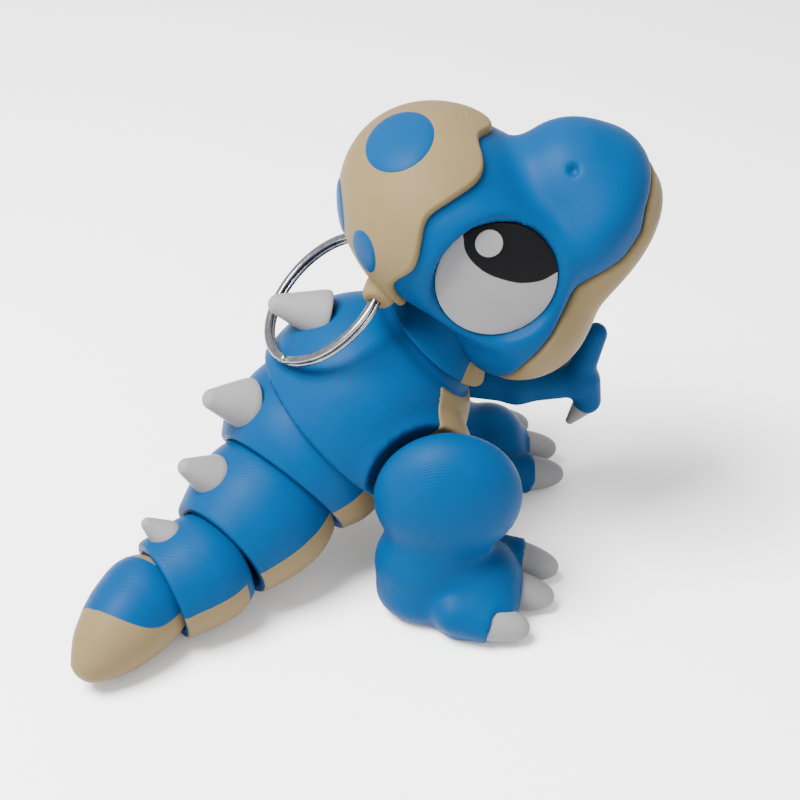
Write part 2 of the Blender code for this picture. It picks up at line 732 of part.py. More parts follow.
def build_eye(name, side, head, frame, mats):
    centre = np.array(EYE_CENTRE) * (1, side, 1)
    axis = centre - np.array(EYE_CORE)
    pupil, white, up, across = eye_outlines(axis)
    pocket = oval((0, 0), (EYE_RADIUS + 0.16, EYE_RADIUS + 0.16), count=30)
    verts, faces = patch(EYE_CORE, axis, pocket, -2.15, lambda e: 3.0 + 0 * e, 3)
    boolean(head, add_object("cutter", place(frame, verts), faces, mats["cut"]))
    level = lambda e: 0.35 + 0 * e
    for part, outline, mat in (("white", white, "white"), ("pupil", pupil, "black")):
        verts, faces = patch(EYE_CORE, axis, outline, -1.8, level, 3)
        add_object("eye_%s_%s" % (name, part), place(frame, verts), faces, mats[mat], HEAD_BALL)
    spot = oval(EYE_RADIUS * (0.50 * up - side * 0.40 * across), (2.15, 2.15), count=14)
    verts, faces = patch(EYE_CORE, axis, spot, 0.35 + SEAM, lambda e: 0.75 - 0.15 * e ** 4, 2)
    add_object("eye_%s_glint" % name, place(frame, verts), faces, mats["white"], HEAD_BALL)


CAP_CORE = (10.0, 0.0, 8.5)
CAP_THICK = 1.3
# broken edge of the eggshell: azimuth about the skull, elevation of the edge, degrees
CAP_EDGE = [(-180, 8), (-158, 9), (-140, 14), (-122, 32), (-106, 33), (-97, 30), (-85, 35),
            (-71, 41.5), (-55, 36), (-40, 30), (-30, 30), (-18, 35), (-9, 37), (2, 28),
            (16, 26), (30, 33), (46, 40), (62, 36), (78, 28), (95, 33), (112, 40), (128, 28),
            (145, 12), (165, 9)]


def cap_edge(azimuth):
    """Smooth closed curve through the cap edge points."""
    knots = np.array(CAP_EDGE + [(180, CAP_EDGE[0][1])], float)
    out = []
    for a in azimuth:
        i = min(int(np.searchsorted(knots[:, 0], a, side="right")) - 1, len(knots) - 2)
        t = (a - knots[i, 0]) / (knots[i + 1, 0] - knots[i, 0])
        t = t * t * (3 - 2 * t)
        out.append(knots[i, 1] * (1 - t) + knots[i + 1, 1] * t)
    return np.radians(out)


def cap_solid(columns=48, rings=6):
    core = np.array(CAP_CORE)
    azimuth = np.linspace(-180, 180, columns, endpoint=False)
    edge = cap_edge(azimuth)
    az = np.radians(azimuth)
    dirs = [np.array((0.0, 0.0, 1.0))]
    for k in range(1, rings + 1):
        polar = (math.pi / 2 - edge) * k / rings
        ring = np.stack([np.sin(polar) * np.cos(az), np.sin(polar) * np.sin(az), np.cos(polar)], 1)
        dirs += list(ring)
    dirs = np.array(dirs)
    depth = radial_depth(head_field, core, dirs, 60)
    level = np.repeat(np.arange(rings + 1), [1] + [columns] * rings) / rings
    top = core + dirs * (depth + CAP_THICK * np.where(level > 0.99, 0.8, 1.0))[:, None]
    low = core + dirs * (depth + 0.3)[:, None]
    total = len(dirs)
    faces = []
    for i in range(columns):
        j = (i + 1) % columns
        faces.append((0, 1 + i, 1 + j))
        faces.append((total, total + 1 + j, total + 1 + i))
        for k in range(rings - 1):
            a, b = 1 + k * columns, 1 + (k + 1) * columns
            faces.append((a + i, b + i, b + j, a + j))
            faces.append((total + a + j, total + b + j, total + b + i, total + a + i))
        last = 1 + (rings - 1) * columns
        faces.append((last + i, total + last + i, total + last + j, last + j))
    return outward(np.concatenate([top, low]), faces)


# cap spots: point on the skull, radii, turn
SPOTS = {
    "cap_spot_large": ((17.5, -3.4, 27.0), (6.4, 5.2), 20.0),
    "cap_spot_rear": ((2.6, -0.8, 27.9), (4.6, 3.6), 0.0),
    "cap_spot_low": ((3.4, -10.9, 23.6), (3.4, 2.7), 30.0),
}
# mouth line on the side of the head: x and z from nape to snout tip
MOUTH = [(-4.2, -8.4), (0, -7.0), (6, -5.8), (12, -5.7), (16, -5.3), (19.5, -4.4), (22.5, -5.2),
         (27, -6.9), (31.5, -6.9), (34.5, -5.2), (45, -4.2)]


def jaw_block(drop, grow):
    """Prism under the mouth line; its top is lowered by drop and its back moved by grow."""
    line = [(MOUTH[0][0] - grow, MOUTH[0][1] - drop)] + [(x, z - drop) for x, z in MOUTH[1:]]
    outline = line + [(45, -40), (MOUTH[0][0] - grow, -40)]
    n = len(outline)
    verts = [(x, -30, z) for x, z in outline] + [(x, 30, z) for x, z in outline]
    faces = [list(range(n)), list(range(2 * n - 1, n - 1, -1))]
    for i in range(n):
        j = (i + 1) % n
        faces.append((i, i + n, j + n, j))
    return outward(verts, faces)


def neck_room():
    """Space for the collar inside the head, leaving the head's own stalk and ball."""
    ball, inner = 2.0, 10.8
    front = inner * math.cos(math.radians(45))
    points = [(-40, 0), (-ball, 0)] + arc(0, ball, 160, 31, 5)
    points += [(front, 1.3)] + arc(0, inner, 45, 110, 6)
    points += [(-5.0, 11.4), (-40, 32.2), (-40, 0)]
    return outward(*revolve(points, columns=28))


def build_head(mats):
    frame = pose_matrix(HEAD_BALL, *HEAD_POSE)
    verts, faces = surface_net(head_field, (-16, -24, -24), (46, 24, 34))
    head = add_object("head", place(frame, verts), faces, mats["blue"], HEAD_BALL)
    verts, faces = neck_room()
    boolean(head, add_object("cutter", place(frame, verts), faces, mats["cut"]))
    jaw = head.copy()
    jaw.data = head.data.copy()
    jaw.name = "jaw"
    bpy.context.scene.collection.objects.link(jaw)
    jaw.data.materials.clear()
    jaw.data.materials.append(mats["tan"])
    verts, faces = jaw_block(SEAM, -SEAM)
    boolean(jaw, add_object("cutter", place(frame, verts), faces, mats["tan"]), "INTERSECT")
    verts, faces = jaw_block(0.0, 0.0)
    boolean(head, add_object("cutter", place(frame, verts), faces, mats["cut"]))
    build_eye("right", -1, head, frame, mats)
    build_eye("left", 1, head, frame, mats)
    verts, faces = cap_solid()
    cap = add_object("eggshell_cap", place(frame, verts), faces, mats["tan"], HEAD_BALL)
    for name, (spot, radii, turn) in SPOTS.items():
        axis = np.array(spot) - np.array(CAP_CORE)
        flat = lambda e: CAP_THICK + 0.32 - 0.12 * e ** 6
        verts, faces = patch(CAP_CORE, axis, oval((0, 0), radii, turn), CAP_THICK + SEAM, flat, 3)
        add_object(name, place(frame, verts), faces, mats["blue"], HEAD_BALL)
    build_key_ring(head, cap, mats)


def ring_frame():
    normal = np.array(RING_NORMAL)
    normal /= np.linalg.norm(normal)
    level = np.cross(normal, (0, 1, 0))
    level /= np.linalg.norm(level)
    return np.stack([level, np.cross(normal, level), normal], axis=1), np.array(RING_CENTRE)


def ring_point(angle):
    a = math.radians(angle)
    return place(ring_frame(), (RING_RADIUS * math.cos(a), RING_RADIUS * math.sin(a), 0))[0]


def torus(half_width, half_height, steps=40, sides=7):
    """The wire stack as one closed hoop."""
    verts = []
    for i in range(steps):
        a = math.tau * i / steps
        for k in range(sides):
            t = math.tau * (k + 0.5) / sides
            r = RING_RADIUS + half_width * math.cos(t)
            verts.append((r * math.cos(a), r * math.sin(a), half_height * math.sin(t)))
    faces = []
    for i in range(steps):
        for k in range(sides):
            a, b = i * sides, ((i + 1) % steps) * sides
            k2 = (k + 1) % sides
            faces.append((a + k, b + k, b + k2, a + k2))
    return outward(place(ring_frame(), verts), faces)


def passage_field(p):
    """Room for the part of the wire inside the head, over the whole swing."""
    frame = ring_frame()
    pivot = ring_point(RING_ENTRY[0])
    axis = Vector(ring_point(RING_ENTRY[1]) - pivot)
    nearest = np.full(len(p), 1e9)
    for lift in np.arange(0.0, RING_SWING + 1, 9.0):
        turn = np.array(Matrix.Rotation(math.radians(lift), 3, axis))
        q = ((p - pivot) @ turn + pivot - frame[1]) @ frame[0]
        across = np.hypot(q[:, 0], q[:, 1]) - RING_RADIUS
        nearest = np.minimum(nearest, np.hypot(across, q[:, 2]) - RING_WIRE[1] - 0.6)
    return nearest


def build_key_ring(head, cap, mats):
    """Split ring and the passage it swings in, just under the shell at the nape."""
    entry = ring_point(RING_ENTRY[0])
    nub = axis_frame(entry, entry - ring_point(RING_ENTRY[0] + 8))
    profile = [(-2.6, 0), (-2.6, 1.8), (-1.6, 2.5), (0.9, 2.6), (1.8, 2.0), (1.8, 0)]
    verts, faces = outward(*revolve(profile, columns=12))
    boolean(cap, add_object("nub", place(nub, verts), faces, mats["tan"]), "UNION")
    verts, faces = outward(*revolve([(x * 1.2, r * 1.12) for x, r in profile], columns=12))
    boolean(head, add_object("seat", place(nub, verts), faces, mats["cut"]))
    low = ring_frame()[1] - RING_RADIUS - 5
    verts, faces = surface_net(passage_field, low, low + 2 * RING_RADIUS + 10, 1.5)
    for piece in (head, cap):
        boolean(piece, add_object("passage", verts, faces, mats["cut"]))
    verts, faces = torus(*RING_WIRE)
    pivot = (ring_point(RING_ENTRY[0]) + ring_point(RING_ENTRY[1])) / 2
    add_object("split_ring", verts, faces, mats["steel"], pivot)


def arm_field(p):
    """Left arm: shoulder, upper arm, forearm and two spread fingers."""
    d = capsule(p, SHOULDER, ELBOW, 3.9, 3.1)
    d = blend(d, capsule(p, ELBOW, (30, 8.6, 25.0), 3.1, 2.8), 1.5)
    d = blend(d, capsule(p, (31, 8.6, 26.5), (33.6, 8.8, 34.5), 2.7, 2.0), 1.5)
    return blend(d, capsule(p, (32.2, 8.6, 25.0), (33.0, 8.6, 21.0), 2.9, 2.5), 1.5)


def build_arm(chest, belly, mats):
    level = link_frame(NECK_BALL, WAIST_BALL)
    pivot = place(level, SHOULDER_SEAT)[0]
    peg = axis_frame(pivot, level[0][:, 1])
    verts, faces = surface_net(arm_field, (2, 2, 14), (40, 16, 42), 1.7)
    arm = add_object("arm_left", verts, faces, mats["blue"], pivot)
    profile = arc(0, 1.8, 180, 34, 4) + [(6.5, 1.0), (6.5, 0)]
    verts, faces = outward(*revolve(profile, columns=12))
    boolean(arm, add_object("peg", place(peg, verts), faces, mats["blue"]), "UNION")
    local = axis_frame((32.6, 8.6, 20.2), (-3.0, 0.0, -4.6))
    verts, faces = cone_solid(local, 5.0, 2.1, 1.2, 0.8)
    boolean(arm, root_cutter(local, 2.1, 1.2, mats["cut"]))
    add_object("arm_left_claw", verts, faces, mats["white"], pivot)
    profile = arc(0, 1.8 + GAP, 180, 45, 4) + [(2.0, 1.5), (16, 1.5), (16, 0)]
    verts, faces = outward(*revolve(profile, columns=12))
    boolean(chest, add_object("socket", place(peg, verts), faces, mats["cut"]))
    room = axis_frame(SHOULDER, np.array(ELBOW) - np.array(SHOULDER))
    profile = arc(0, 4.9, 180, 110, 4) + [(0, 4.9), (12, 7.6), (12, 0)]
    for piece in (chest, belly):
        verts, faces = outward(*revolve(profile, columns=14))
        boolean(piece, add_object("room", place(room, verts), faces, mats["cut"]))


build()
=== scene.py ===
"""Looks of the posable toy dinosaur keychain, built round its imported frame."""
import json
import math

import bmesh
import bpy
import numpy as np
from mathutils import Matrix, Vector


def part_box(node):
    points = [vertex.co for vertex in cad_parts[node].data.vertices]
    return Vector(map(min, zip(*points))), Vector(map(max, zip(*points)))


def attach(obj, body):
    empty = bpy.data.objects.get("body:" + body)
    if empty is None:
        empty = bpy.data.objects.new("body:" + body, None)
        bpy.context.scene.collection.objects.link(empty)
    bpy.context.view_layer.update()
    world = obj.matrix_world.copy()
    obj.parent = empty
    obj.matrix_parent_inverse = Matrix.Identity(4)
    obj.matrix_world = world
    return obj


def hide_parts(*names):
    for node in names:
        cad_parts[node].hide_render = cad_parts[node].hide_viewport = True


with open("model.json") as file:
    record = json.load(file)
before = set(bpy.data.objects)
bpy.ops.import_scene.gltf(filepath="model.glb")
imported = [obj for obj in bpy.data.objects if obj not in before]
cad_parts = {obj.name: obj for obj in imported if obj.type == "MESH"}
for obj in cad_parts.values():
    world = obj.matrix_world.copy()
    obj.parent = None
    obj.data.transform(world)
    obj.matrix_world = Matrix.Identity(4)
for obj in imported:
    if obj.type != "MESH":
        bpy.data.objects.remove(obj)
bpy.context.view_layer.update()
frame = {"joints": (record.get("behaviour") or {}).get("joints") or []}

MM = 0.001
GAP = 0.35                        # clearance between a ball and its socket

# centres of the captive balls, in the millimetre frame the shapes are drawn in
HEAD_BALL = (10.0, 0.7, 45.2)
NECK_BALL = (2.5, 0.0, 37.5)
WAIST_BALL = (-14.2, -2.5, 22.4)
TAIL1_BALL = (-23.3, -11.3, 14.6)
TAIL2_BALL = (-33.1, -21.4, 9.8)
TIP_BALL = (-42.0, -26.6, 8.05)
TAIL_END = (-51.0, -39.5, 4.7)
HEAD_POSE = (-2.0, 50.0, 4.0)
LINK_ROLL = -20.0
HIP_SEAT = (-7.3, 10.5, -12.3)
FOOT_SEAT = {-1: (0.0, -21.2), 1: (4.6, 18.2)}
CALF_RADII = (8.4, 7.0, 8.4)
CALF_ROOM = 2.0                   # how far the chest is cut back round the calf
THIGH_RADII = (11.8, 7.0, 11.4)
THIGH_ROOM = (13.2, 8.0, 13.2)    # radii of the room cut into the chest for the thigh
THIGH_OUT = 10.8                  # from the hip ball out to the middle of the thigh
HAUNCH_SEAT = (-11.0, 11.3, -6.4)
HAUNCH_RADII = (10.6, 8.8, 11.4)
SHOULDER = (8.8, 9.6, 26.6)
ELBOW = (20.5, 8.8, 24.2)
ARM_RADII = (3.9, 3.1)            # at the shoulder and the elbow
ARM_ROOM = (4.9, 7.6)             # radii of the room cut into the chest for the arm
SKIRT_WALL = 1.5
# half angles in degrees of the belly strips, the collar's narrow strip and the tail's saddle
BELLY_HALF = 74.0
TONGUE_HALF = 50.0
BACK_HALF = 100.0
# half angle of the chest's strip in degrees, along the link from its rim to its neck
CHEST_HALF = ((-18.0, -8.0, -3.5, 1.5), (62.0, 50.0, 54.0, 65.0))

RING_CENTRE = (-11.9, -2.0, 49.1)
RING_NORMAL = (-0.61, -0.19, 0.77)
RING_RADIUS = 11.8
WIRE = (0.66, 0.42)               # half width and half height of one turn of wire
RING_ENTRY = 145.0                # where the wire enters the shell, round the ring
WIRE_END = 38.0                   # where both ends of the wire lie, round the ring

# the drawing frame is moved so that its neck ball sits on the neck joint of the frame
neck = [j for j in frame["joints"] if j["name"] == "neck_tilt"][0]
SHIFT = np.array(neck["pos_m"]) / MM - np.array(NECK_BALL)


# ---------------------------------------------------------------- placing

def place(pose, pts):
    rot, origin = pose
    return np.atleast_2d(np.asarray(pts, float)) @ rot.T + origin


def pose_matrix(origin, yaw, pitch, roll):
    """Local +X to the nose, +Y to the left, +Z up; pitch lifts the nose."""
    turn = Matrix.Rotation(math.radians(yaw), 3, 'Z')
    turn = turn @ Matrix.Rotation(-math.radians(pitch), 3, 'Y')
    turn = turn @ Matrix.Rotation(math.radians(roll), 3, 'X')
    return np.array(turn), np.array(origin, float)


def link_frame(front, rear, roll=LINK_ROLL):
    """Local +X from the rear ball to the front ball, +Z towards the back of the animal."""
    front = np.array(front, float)
    x = front - np.array(rear, float)
    x /= np.linalg.norm(x)
    y = np.cross((0, 0, 1), x)
    y /= np.linalg.norm(y)
    z = np.cross(x, y)
    c, s = math.cos(math.radians(roll)), math.sin(math.radians(roll))
    return np.stack([x, c * y + s * z, c * z - s * y], axis=1), front


def turned(pose):
    rot, origin = pose
    return rot * (1, -1, -1), origin


def span(front, rear):
    return float(np.linalg.norm(np.array(front) - np.array(rear)))


def axis_frame(origin, direction):
    x = np.array(direction, float)
    x /= np.linalg.norm(x)
    y = np.cross((0, 0, 1), x)
    if np.linalg.norm(y) < 1e-6:
        y = np.array((0.0, 1.0, 0.0))
    y /= np.linalg.norm(y)
    return np.stack([x, y, np.cross(x, y)], axis=1), np.array(origin, float)


# ---------------------------------------------------------------- meshes

def signed_volume(verts, faces):
    fans = [(f[0], f[i], f[i + 1]) for f in faces for i in range(1, len(f) - 1)]
    a, b, c = (verts[np.array(fans)[:, k]] for k in range(3))
    return np.einsum("ij,ij->", a, np.cross(b, c))


def add_mesh(name, verts, faces, material, body, nodes=()):
    """A smooth-shaded piece in the row frame that rides a body and stands for CAD nodes."""
    verts = (np.asarray(verts, float) + SHIFT) * MM
    if signed_volume(verts, faces) < 0:
        faces = [tuple(reversed(f)) for f in faces]
    mesh = bpy.data.meshes.new(name)
    mesh.from_pydata([tuple(v) for v in verts], [], [tuple(int(i) for i in f) for f in faces])
    mesh.update()
    mesh.materials.append(material)
    mesh.polygons.foreach_set("use_smooth", [True] * len(mesh.polygons))
    obj = bpy.data.objects.new(name, mesh)
    bpy.context.scene.collection.objects.link(obj)
    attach(obj, body)
    if nodes:
        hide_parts(*nodes)
    return obj


def sharpen(obj, degrees=38):
    """Shade the edges that really turn a corner as corners."""
    work = bmesh.new()
    work.from_mesh(obj.data)
    limit = math.radians(degrees)
    for edge in work.edges:
        if len(edge.link_faces) == 2 and edge.calc_face_angle(0.0) > limit:
            edge.smooth = False
    work.to_mesh(obj.data)
    work.free()


def fillet(points, reach, steps=5, least=6.0):
    """Round the corners of an open profile; reach is how far each side is eaten away."""
    pts = [np.array(p, float) for p in points]
    out = [pts[0]]
    for i in range(1, len(pts) - 1):
        a = pts[i - 1] - pts[i]
        b = pts[i + 1] - pts[i]
        la, lb = np.linalg.norm(a), np.linalg.norm(b)
        if la < 1e-6 or lb < 1e-6:
            continue
        turn = 180 - math.degrees(math.acos(np.clip(np.dot(a, b) / la / lb, -1, 1)))
        if turn < least:
            out.append(pts[i])
            continue
        cut = min(reach if turn > 35 else 6 * reach, 0.47 * la, 0.47 * lb)
        p, q = pts[i] + a / la * cut, pts[i] + b / lb * cut
        for t in np.linspace(0, 1, steps):
            out.append((1 - t) ** 2 * p + 2 * t * (1 - t) * pts[i] + t * t * q)
    out.append(pts[-1])
    return out


def arc(cx, radius, start, stop, steps):
    angles = np.radians(np.linspace(start, stop, steps))
    return [(cx + radius * math.cos(a), radius * math.sin(a)) for a in angles]


def revolve(profile, columns=180):
    """Skin of revolution about x; profile ends lie on the axis. Angle 0 faces -z."""
    profile = np.array(profile, float)
    angles = math.tau * np.arange(columns) / columns
    verts = [np.array([[profile[0][0], 0, 0]])]
    for x, r in profile[1:-1]:
        verts.append(np.stack([np.full(columns, x), r * np.sin(angles), -r * np.cos(angles)], 1))
    verts.append(np.array([[profile[-1][0], 0, 0]]))
    verts = np.concatenate(verts)
    last = len(verts) - 1
    rows = len(profile) - 2
    faces = []
    for i in range(columns):
        j = (i + 1) % columns
        faces.append((0, 1 + j, 1 + i))
        for k in range(rows - 1):
            a, b = 1 + k * columns, 1 + (k + 1) * columns
            faces.append((a + i, a + j, b + j, b + i))
        a = 1 + (rows - 1) * columns
        faces.append((last, a + i, a + j))
    return verts, faces


def ellipsoid(p, centre, radii):
    q = (p - np.array(centre)) / np.array(radii)
    k0 = np.linalg.norm(q, axis=1)
    k1 = np.linalg.norm(q / np.array(radii), axis=1)
    return k0 * (k0 - 1) / np.maximum(k1, 1e-9)


def capsule(p, a, b, ra, rb):
    a = np.array(a, float)
    ab = np.array(b, float) - a
    t = np.clip((p - a) @ ab / (ab @ ab), 0, 1)
    return np.linalg.norm(p - a - t[:, None] * ab, axis=1) - (ra + (rb - ra) * t)


def rounded_box(p, centre, half, radius):
    q = np.abs(p - np.array(centre)) - (np.array(half) - radius)
    return np.linalg.norm(np.maximum(q, 0), axis=1) + np.minimum(q.max(axis=1), 0) - radius


def blend(a, b, k):
    h = np.clip(0.5 + 0.5 * (b - a) / k, 0, 1)
    return b + (a - b) * h - k * h * (1 - h)


def blend_max(a, b, k):
    return -blend(-a, -b, k)


def carve(a, b, k):
    """a without b, with a rounded lip of size k."""
    return -blend(-a, b, k)


def profile_field(profile):
    """Signed distance in the (x, r) half plane of a closed profile, negative inside."""
    pts = np.array(profile, float)
    a = pts
    b = np.roll(pts, -1, axis=0)

    def field(x, r):
        best = np.full(len(x), 1e9)
        wind = np.zeros(len(x), bool)
        for (ax, ar), (bx, br) in zip(a, b):
            ex, er = bx - ax, br - ar
            length = ex * ex + er * er
            if length < 1e-12:
                continue
            t = np.clip(((x - ax) * ex + (r - ar) * er) / length, 0, 1)
            if ar > 1e-6 or br > 1e-6:
                best = np.minimum(best, np.hypot(x - ax - t * ex, r - ar - t * er))
            crosses = ((ar > r) != (br > r))
            with np.errstate(divide="ignore", invalid="ignore"):
                side = x < (bx - ax) * (r - ar) / (br - ar) + ax
            wind ^= crosses & side
        return np.where(wind, -best, best)

    return field


def surface_net(field, low, high, cell):
    """Closed quad skin of field(points) = 0 inside the given box."""
    low = np.array(low, float)
    counts = np.ceil((np.array(high) - low) / cell).astype(int) + 1
    axes = [low[i] + cell * np.arange(counts[i]) for i in range(3)]
    grid = np.stack(np.meshgrid(*axes, indexing="ij"), axis=-1)
    val = field(grid.reshape(-1, 3)).reshape(counts)
    total = np.zeros((*(counts - 1), 3))
    hits = np.zeros(counts - 1)
    quads = []
    ids = np.arange(np.prod(counts - 1)).reshape(counts - 1)
    for axis in range(3):
        v0 = np.take(val, range(counts[axis] - 1), axis)
        v1 = np.take(val, range(1, counts[axis]), axis)
        p0 = np.take(grid, range(counts[axis] - 1), axis)
        cross = (v0 < 0) != (v1 < 0)
        t = np.where(cross, v0 / np.where(cross, v0 - v1, 1), 0)
        pts = p0.copy()
        pts[..., axis] += t * cell
        u, w = [a for a in range(3) if a != axis]
        for du in (0, 1):
            for dw in (0, 1):
                src = [slice(None)] * 3
                src[u] = slice(du, du + counts[u] - 1)
                src[w] = slice(dw, dw + counts[w] - 1)
                src = tuple(src)
                hits += cross[src]
                total += np.where(cross[src][..., None], pts[src], 0)
        idx = np.argwhere(cross)
        ring = []
        for du, dw in ((-1, -1), (0, -1), (0, 0), (-1, 0)):
            c = idx.copy()
            c[:, u] += du
            c[:, w] += dw
            ring.append(ids[tuple(c.T)])
        quad = np.stack(ring, 1)
        flip = (v0[tuple(idx.T)] < 0) == (axis == 1)
        quad[flip] = quad[flip][:, ::-1]
        quads.append(quad)
    quads = np.concatenate(quads)
    used = np.flatnonzero(hits.reshape(-1))
    index = np.zeros(hits.size, int)
    index[used] = np.arange(len(used))
    verts = total.reshape(-1, 3)[used] / hits.reshape(-1)[used][:, None]
    faces = index[quads]
    # even out the quads, then pull the skin back onto the surface
    for relax in (0.6, 0.6, 0.4, 0.0, 0.0):
        verts = project(field, verts)
        if relax:
            verts = verts + relax * (neighbour_mean(verts, faces) - verts)
    return project(field, verts), faces


def neighbour_mean(verts, faces):
    total = np.zeros_like(verts)
    count = np.zeros(len(verts))
    for k in range(4):
        a, b = faces[:, k], faces[:, (k + 1) % 4]
        np.add.at(total, a, verts[b])
        np.add.at(total, b, verts[a])
        np.add.at(count, a, 1)
        np.add.at(count, b, 1)
    return total / count[:, None]


def project(field, verts, step=0.05):
    val = field(verts)
    grad = np.stack([field(verts + step * e) - field(verts - step * e) for e in np.eye(3)], 1)
    grad /= 2 * step
    return verts - 0.8 * (val / np.maximum((grad ** 2).sum(1), 0.05))[:, None] * grad


def radial_depth(field, centre, directions, reach):
    low = np.zeros(len(directions))
    high = np.full(len(directions), float(reach))
    for _ in range(34):
        mid = (low + high) / 2
        inside = field(np.array(centre) + directions * mid[:, None]) < 0
        low = np.where(inside, mid, low)
        high = np.where(inside, high, mid)
    return (low + high) / 2


def run_length(pts):
    """Distance travelled along a polyline at each of its points."""
    return np.concatenate([[0], np.cumsum(np.linalg.norm(np.diff(pts, axis=0), axis=1))])


def strip(name, pose, outline, half, material, body, rounded=False):
    """Coloured inlay: a sector of a thin shell that follows an (x, r) outline.
    rounded: its rear end is a round tongue."""
    proud, thick = 0.06, 0.6
    pts = np.array(outline, float)
    way = run_length(pts)
    if rounded:
        even = np.linspace(0, way[-1], 60)
        pts = np.stack([np.interp(even, way, pts[:, k]) for k in range(2)], 1)
        way = even
    along = np.gradient(pts, axis=0)
    along /= np.linalg.norm(along, axis=1)[:, None]
    out = np.stack([along[:, 1], -along[:, 0]], 1)
    if out[len(out) // 2, 1] < 0:
        out = -out
    ring = np.concatenate([pts + out * proud, (pts - out * thick)[::-1]])
    n = len(ring)
    columns = int(half) + 1
    narrow = np.sqrt(np.maximum(1 - (way / way[-1]) ** 4, 0.0004)) if rounded else np.ones(len(pts))
    narrow = np.concatenate([narrow, narrow[::-1]])
    verts = []
    for share in np.linspace(-1, 1, columns):
        ang = math.radians(half) * share * narrow
        verts.append(np.stack([ring[:, 0], ring[:, 1] * np.sin(ang), -ring[:, 1] * np.cos(ang)], 1))
    faces = [tuple(range(n))[::-1], tuple((columns - 1) * n + i for i in range(n))]
    for c in range(columns - 1):
        a, b = c * n, (c + 1) * n
        for i in range(n):
            j = (i + 1) % n
            faces.append((a + i, a + j, b + j, b + i))
    obj = add_mesh(name, place(pose, np.concatenate(verts)), faces, material, body, (name,))
    sharpen(obj, 40)


# ---------------------------------------------------------------- materials

def plastic(name, colour, layers=(0, 0, 1), rough=0.46, pitch=0.24, depth=0.3, mottle=0.06):
    """Satin printed plastic: fine layer lines across one direction and faint mottling."""
    mat = bpy.data.materials.new(name)
    mat.use_nodes = True
    nodes = mat.node_tree.nodes
    links = mat.node_tree.links
    shader = nodes["Principled BSDF"]
    coord = nodes.new("ShaderNodeTexCoord")
    noise = nodes.new("ShaderNodeTexNoise")
    noise.inputs["Scale"].default_value = 260.0
    noise.inputs["Detail"].default_value = 4.0
    links.new(coord.outputs["Object"], noise.inputs["Vector"])
    ramp = nodes.new("ShaderNodeMixRGB")
    ramp.inputs["Color1"].default_value = (*[c * (1 - mottle) for c in colour], 1)
    ramp.inputs["Color2"].default_value = (*[min(c * (1 + mottle), 1) for c in colour], 1)
    links.new(noise.outputs["Fac"], ramp.inputs["Fac"])
    links.new(ramp.outputs["Color"], shader.inputs["Base Color"])
    # height above the print bed, nudged a little so that the lines waver
    dot = nodes.new("ShaderNodeVectorMath")
    dot.operation = 'DOT_PRODUCT'
    dot.inputs[1].default_value = Vector(layers).normalized()
    links.new(coord.outputs["Object"], dot.inputs[0])
    waver = nodes.new("ShaderNodeTexNoise")
    waver.inputs["Scale"].default_value = 90.0
    waver.inputs["Detail"].default_value = 1.0
    links.new(coord.outputs["Object"], waver.inputs["Vector"])
    nudge = nodes.new("ShaderNodeMath")
    nudge.operation = 'MULTIPLY_ADD'
    nudge.inputs[1].default_value = 0.00006
    links.new(waver.outputs["Fac"], nudge.inputs[0])
    links.new(dot.outputs["Value"], nudge.inputs[2])
    phase = nodes.new("ShaderNodeMath")
    phase.operation = 'MULTIPLY'
    phase.inputs[1].default_value = math.tau / (pitch * MM)
    links.new(nudge.outputs["Value"], phase.inputs[0])
    wave = nodes.new("ShaderNodeMath")
    wave.operation = 'SINE'
    links.new(phase.outputs["Value"], wave.inputs[0])
    grain = nodes.new("ShaderNodeTexNoise")
    grain.inputs["Scale"].default_value = 2400.0
    grain.inputs["Detail"].default_value = 2.0
    links.new(coord.outputs["Object"], grain.inputs["Vector"])
    height = nodes.new("ShaderNodeMath")
    height.operation = 'MULTIPLY_ADD'
    height.inputs[1].default_value = 0.35
    links.new(grain.outputs["Fac"], height.inputs[0])
    links.new(wave.outputs["Value"], height.inputs[2])
    bump = nodes.new("ShaderNodeBump")
    bump.inputs["Strength"].default_value = depth
    bump.inputs["Distance"].default_value = 0.00002
    links.new(height.outputs["Value"], bump.inputs["Height"])
    links.new(bump.outputs["Normal"], shader.inputs["Normal"])
    shader.inputs["Roughness"].default_value = rough
    shader.inputs["IOR"].default_value = 1.46
    shader.inputs["Specular IOR Level"].default_value = 0.05
    return mat


def steel(name):
    """Bright drawn spring wire with faint lengthwise scratches."""
    mat = bpy.data.materials.new(name)
    mat.use_nodes = True
    nodes = mat.node_tree.nodes
    links = mat.node_tree.links
    shader = nodes["Principled BSDF"]
    shader.inputs["Metallic"].default_value = 1.0
    coord = nodes.new("ShaderNodeTexCoord")
    noise = nodes.new("ShaderNodeTexNoise")
    noise.inputs["Scale"].default_value = 900.0
    noise.inputs["Detail"].default_value = 5.0
    links.new(coord.outputs["Object"], noise.inputs["Vector"])
    tint = nodes.new("ShaderNodeMixRGB")
    tint.inputs["Color1"].default_value = (0.10, 0.10, 0.105, 1)
    tint.inputs["Color2"].default_value = (0.30, 0.30, 0.31, 1)
    links.new(noise.outputs["Fac"], tint.inputs["Fac"])
    links.new(tint.outputs["Color"], shader.inputs["Base Color"])
    rough = nodes.new("ShaderNodeMapRange")
    rough.inputs["To Min"].default_value = 0.16
    rough.inputs["To Max"].default_value = 0.34
    links.new(noise.outputs["Fac"], rough.inputs["Value"])
    links.new(rough.outputs["Result"], shader.inputs["Roughness"])
    bump = nodes.new("ShaderNodeBump")
    bump.inputs["Strength"].default_value = 0.2
    bump.inputs["Distance"].default_value = 0.00002
    links.new(noise.outputs["Fac"], bump.inputs["Height"])
    links.new(bump.outputs["Normal"], shader.inputs["Normal"])
    return mat


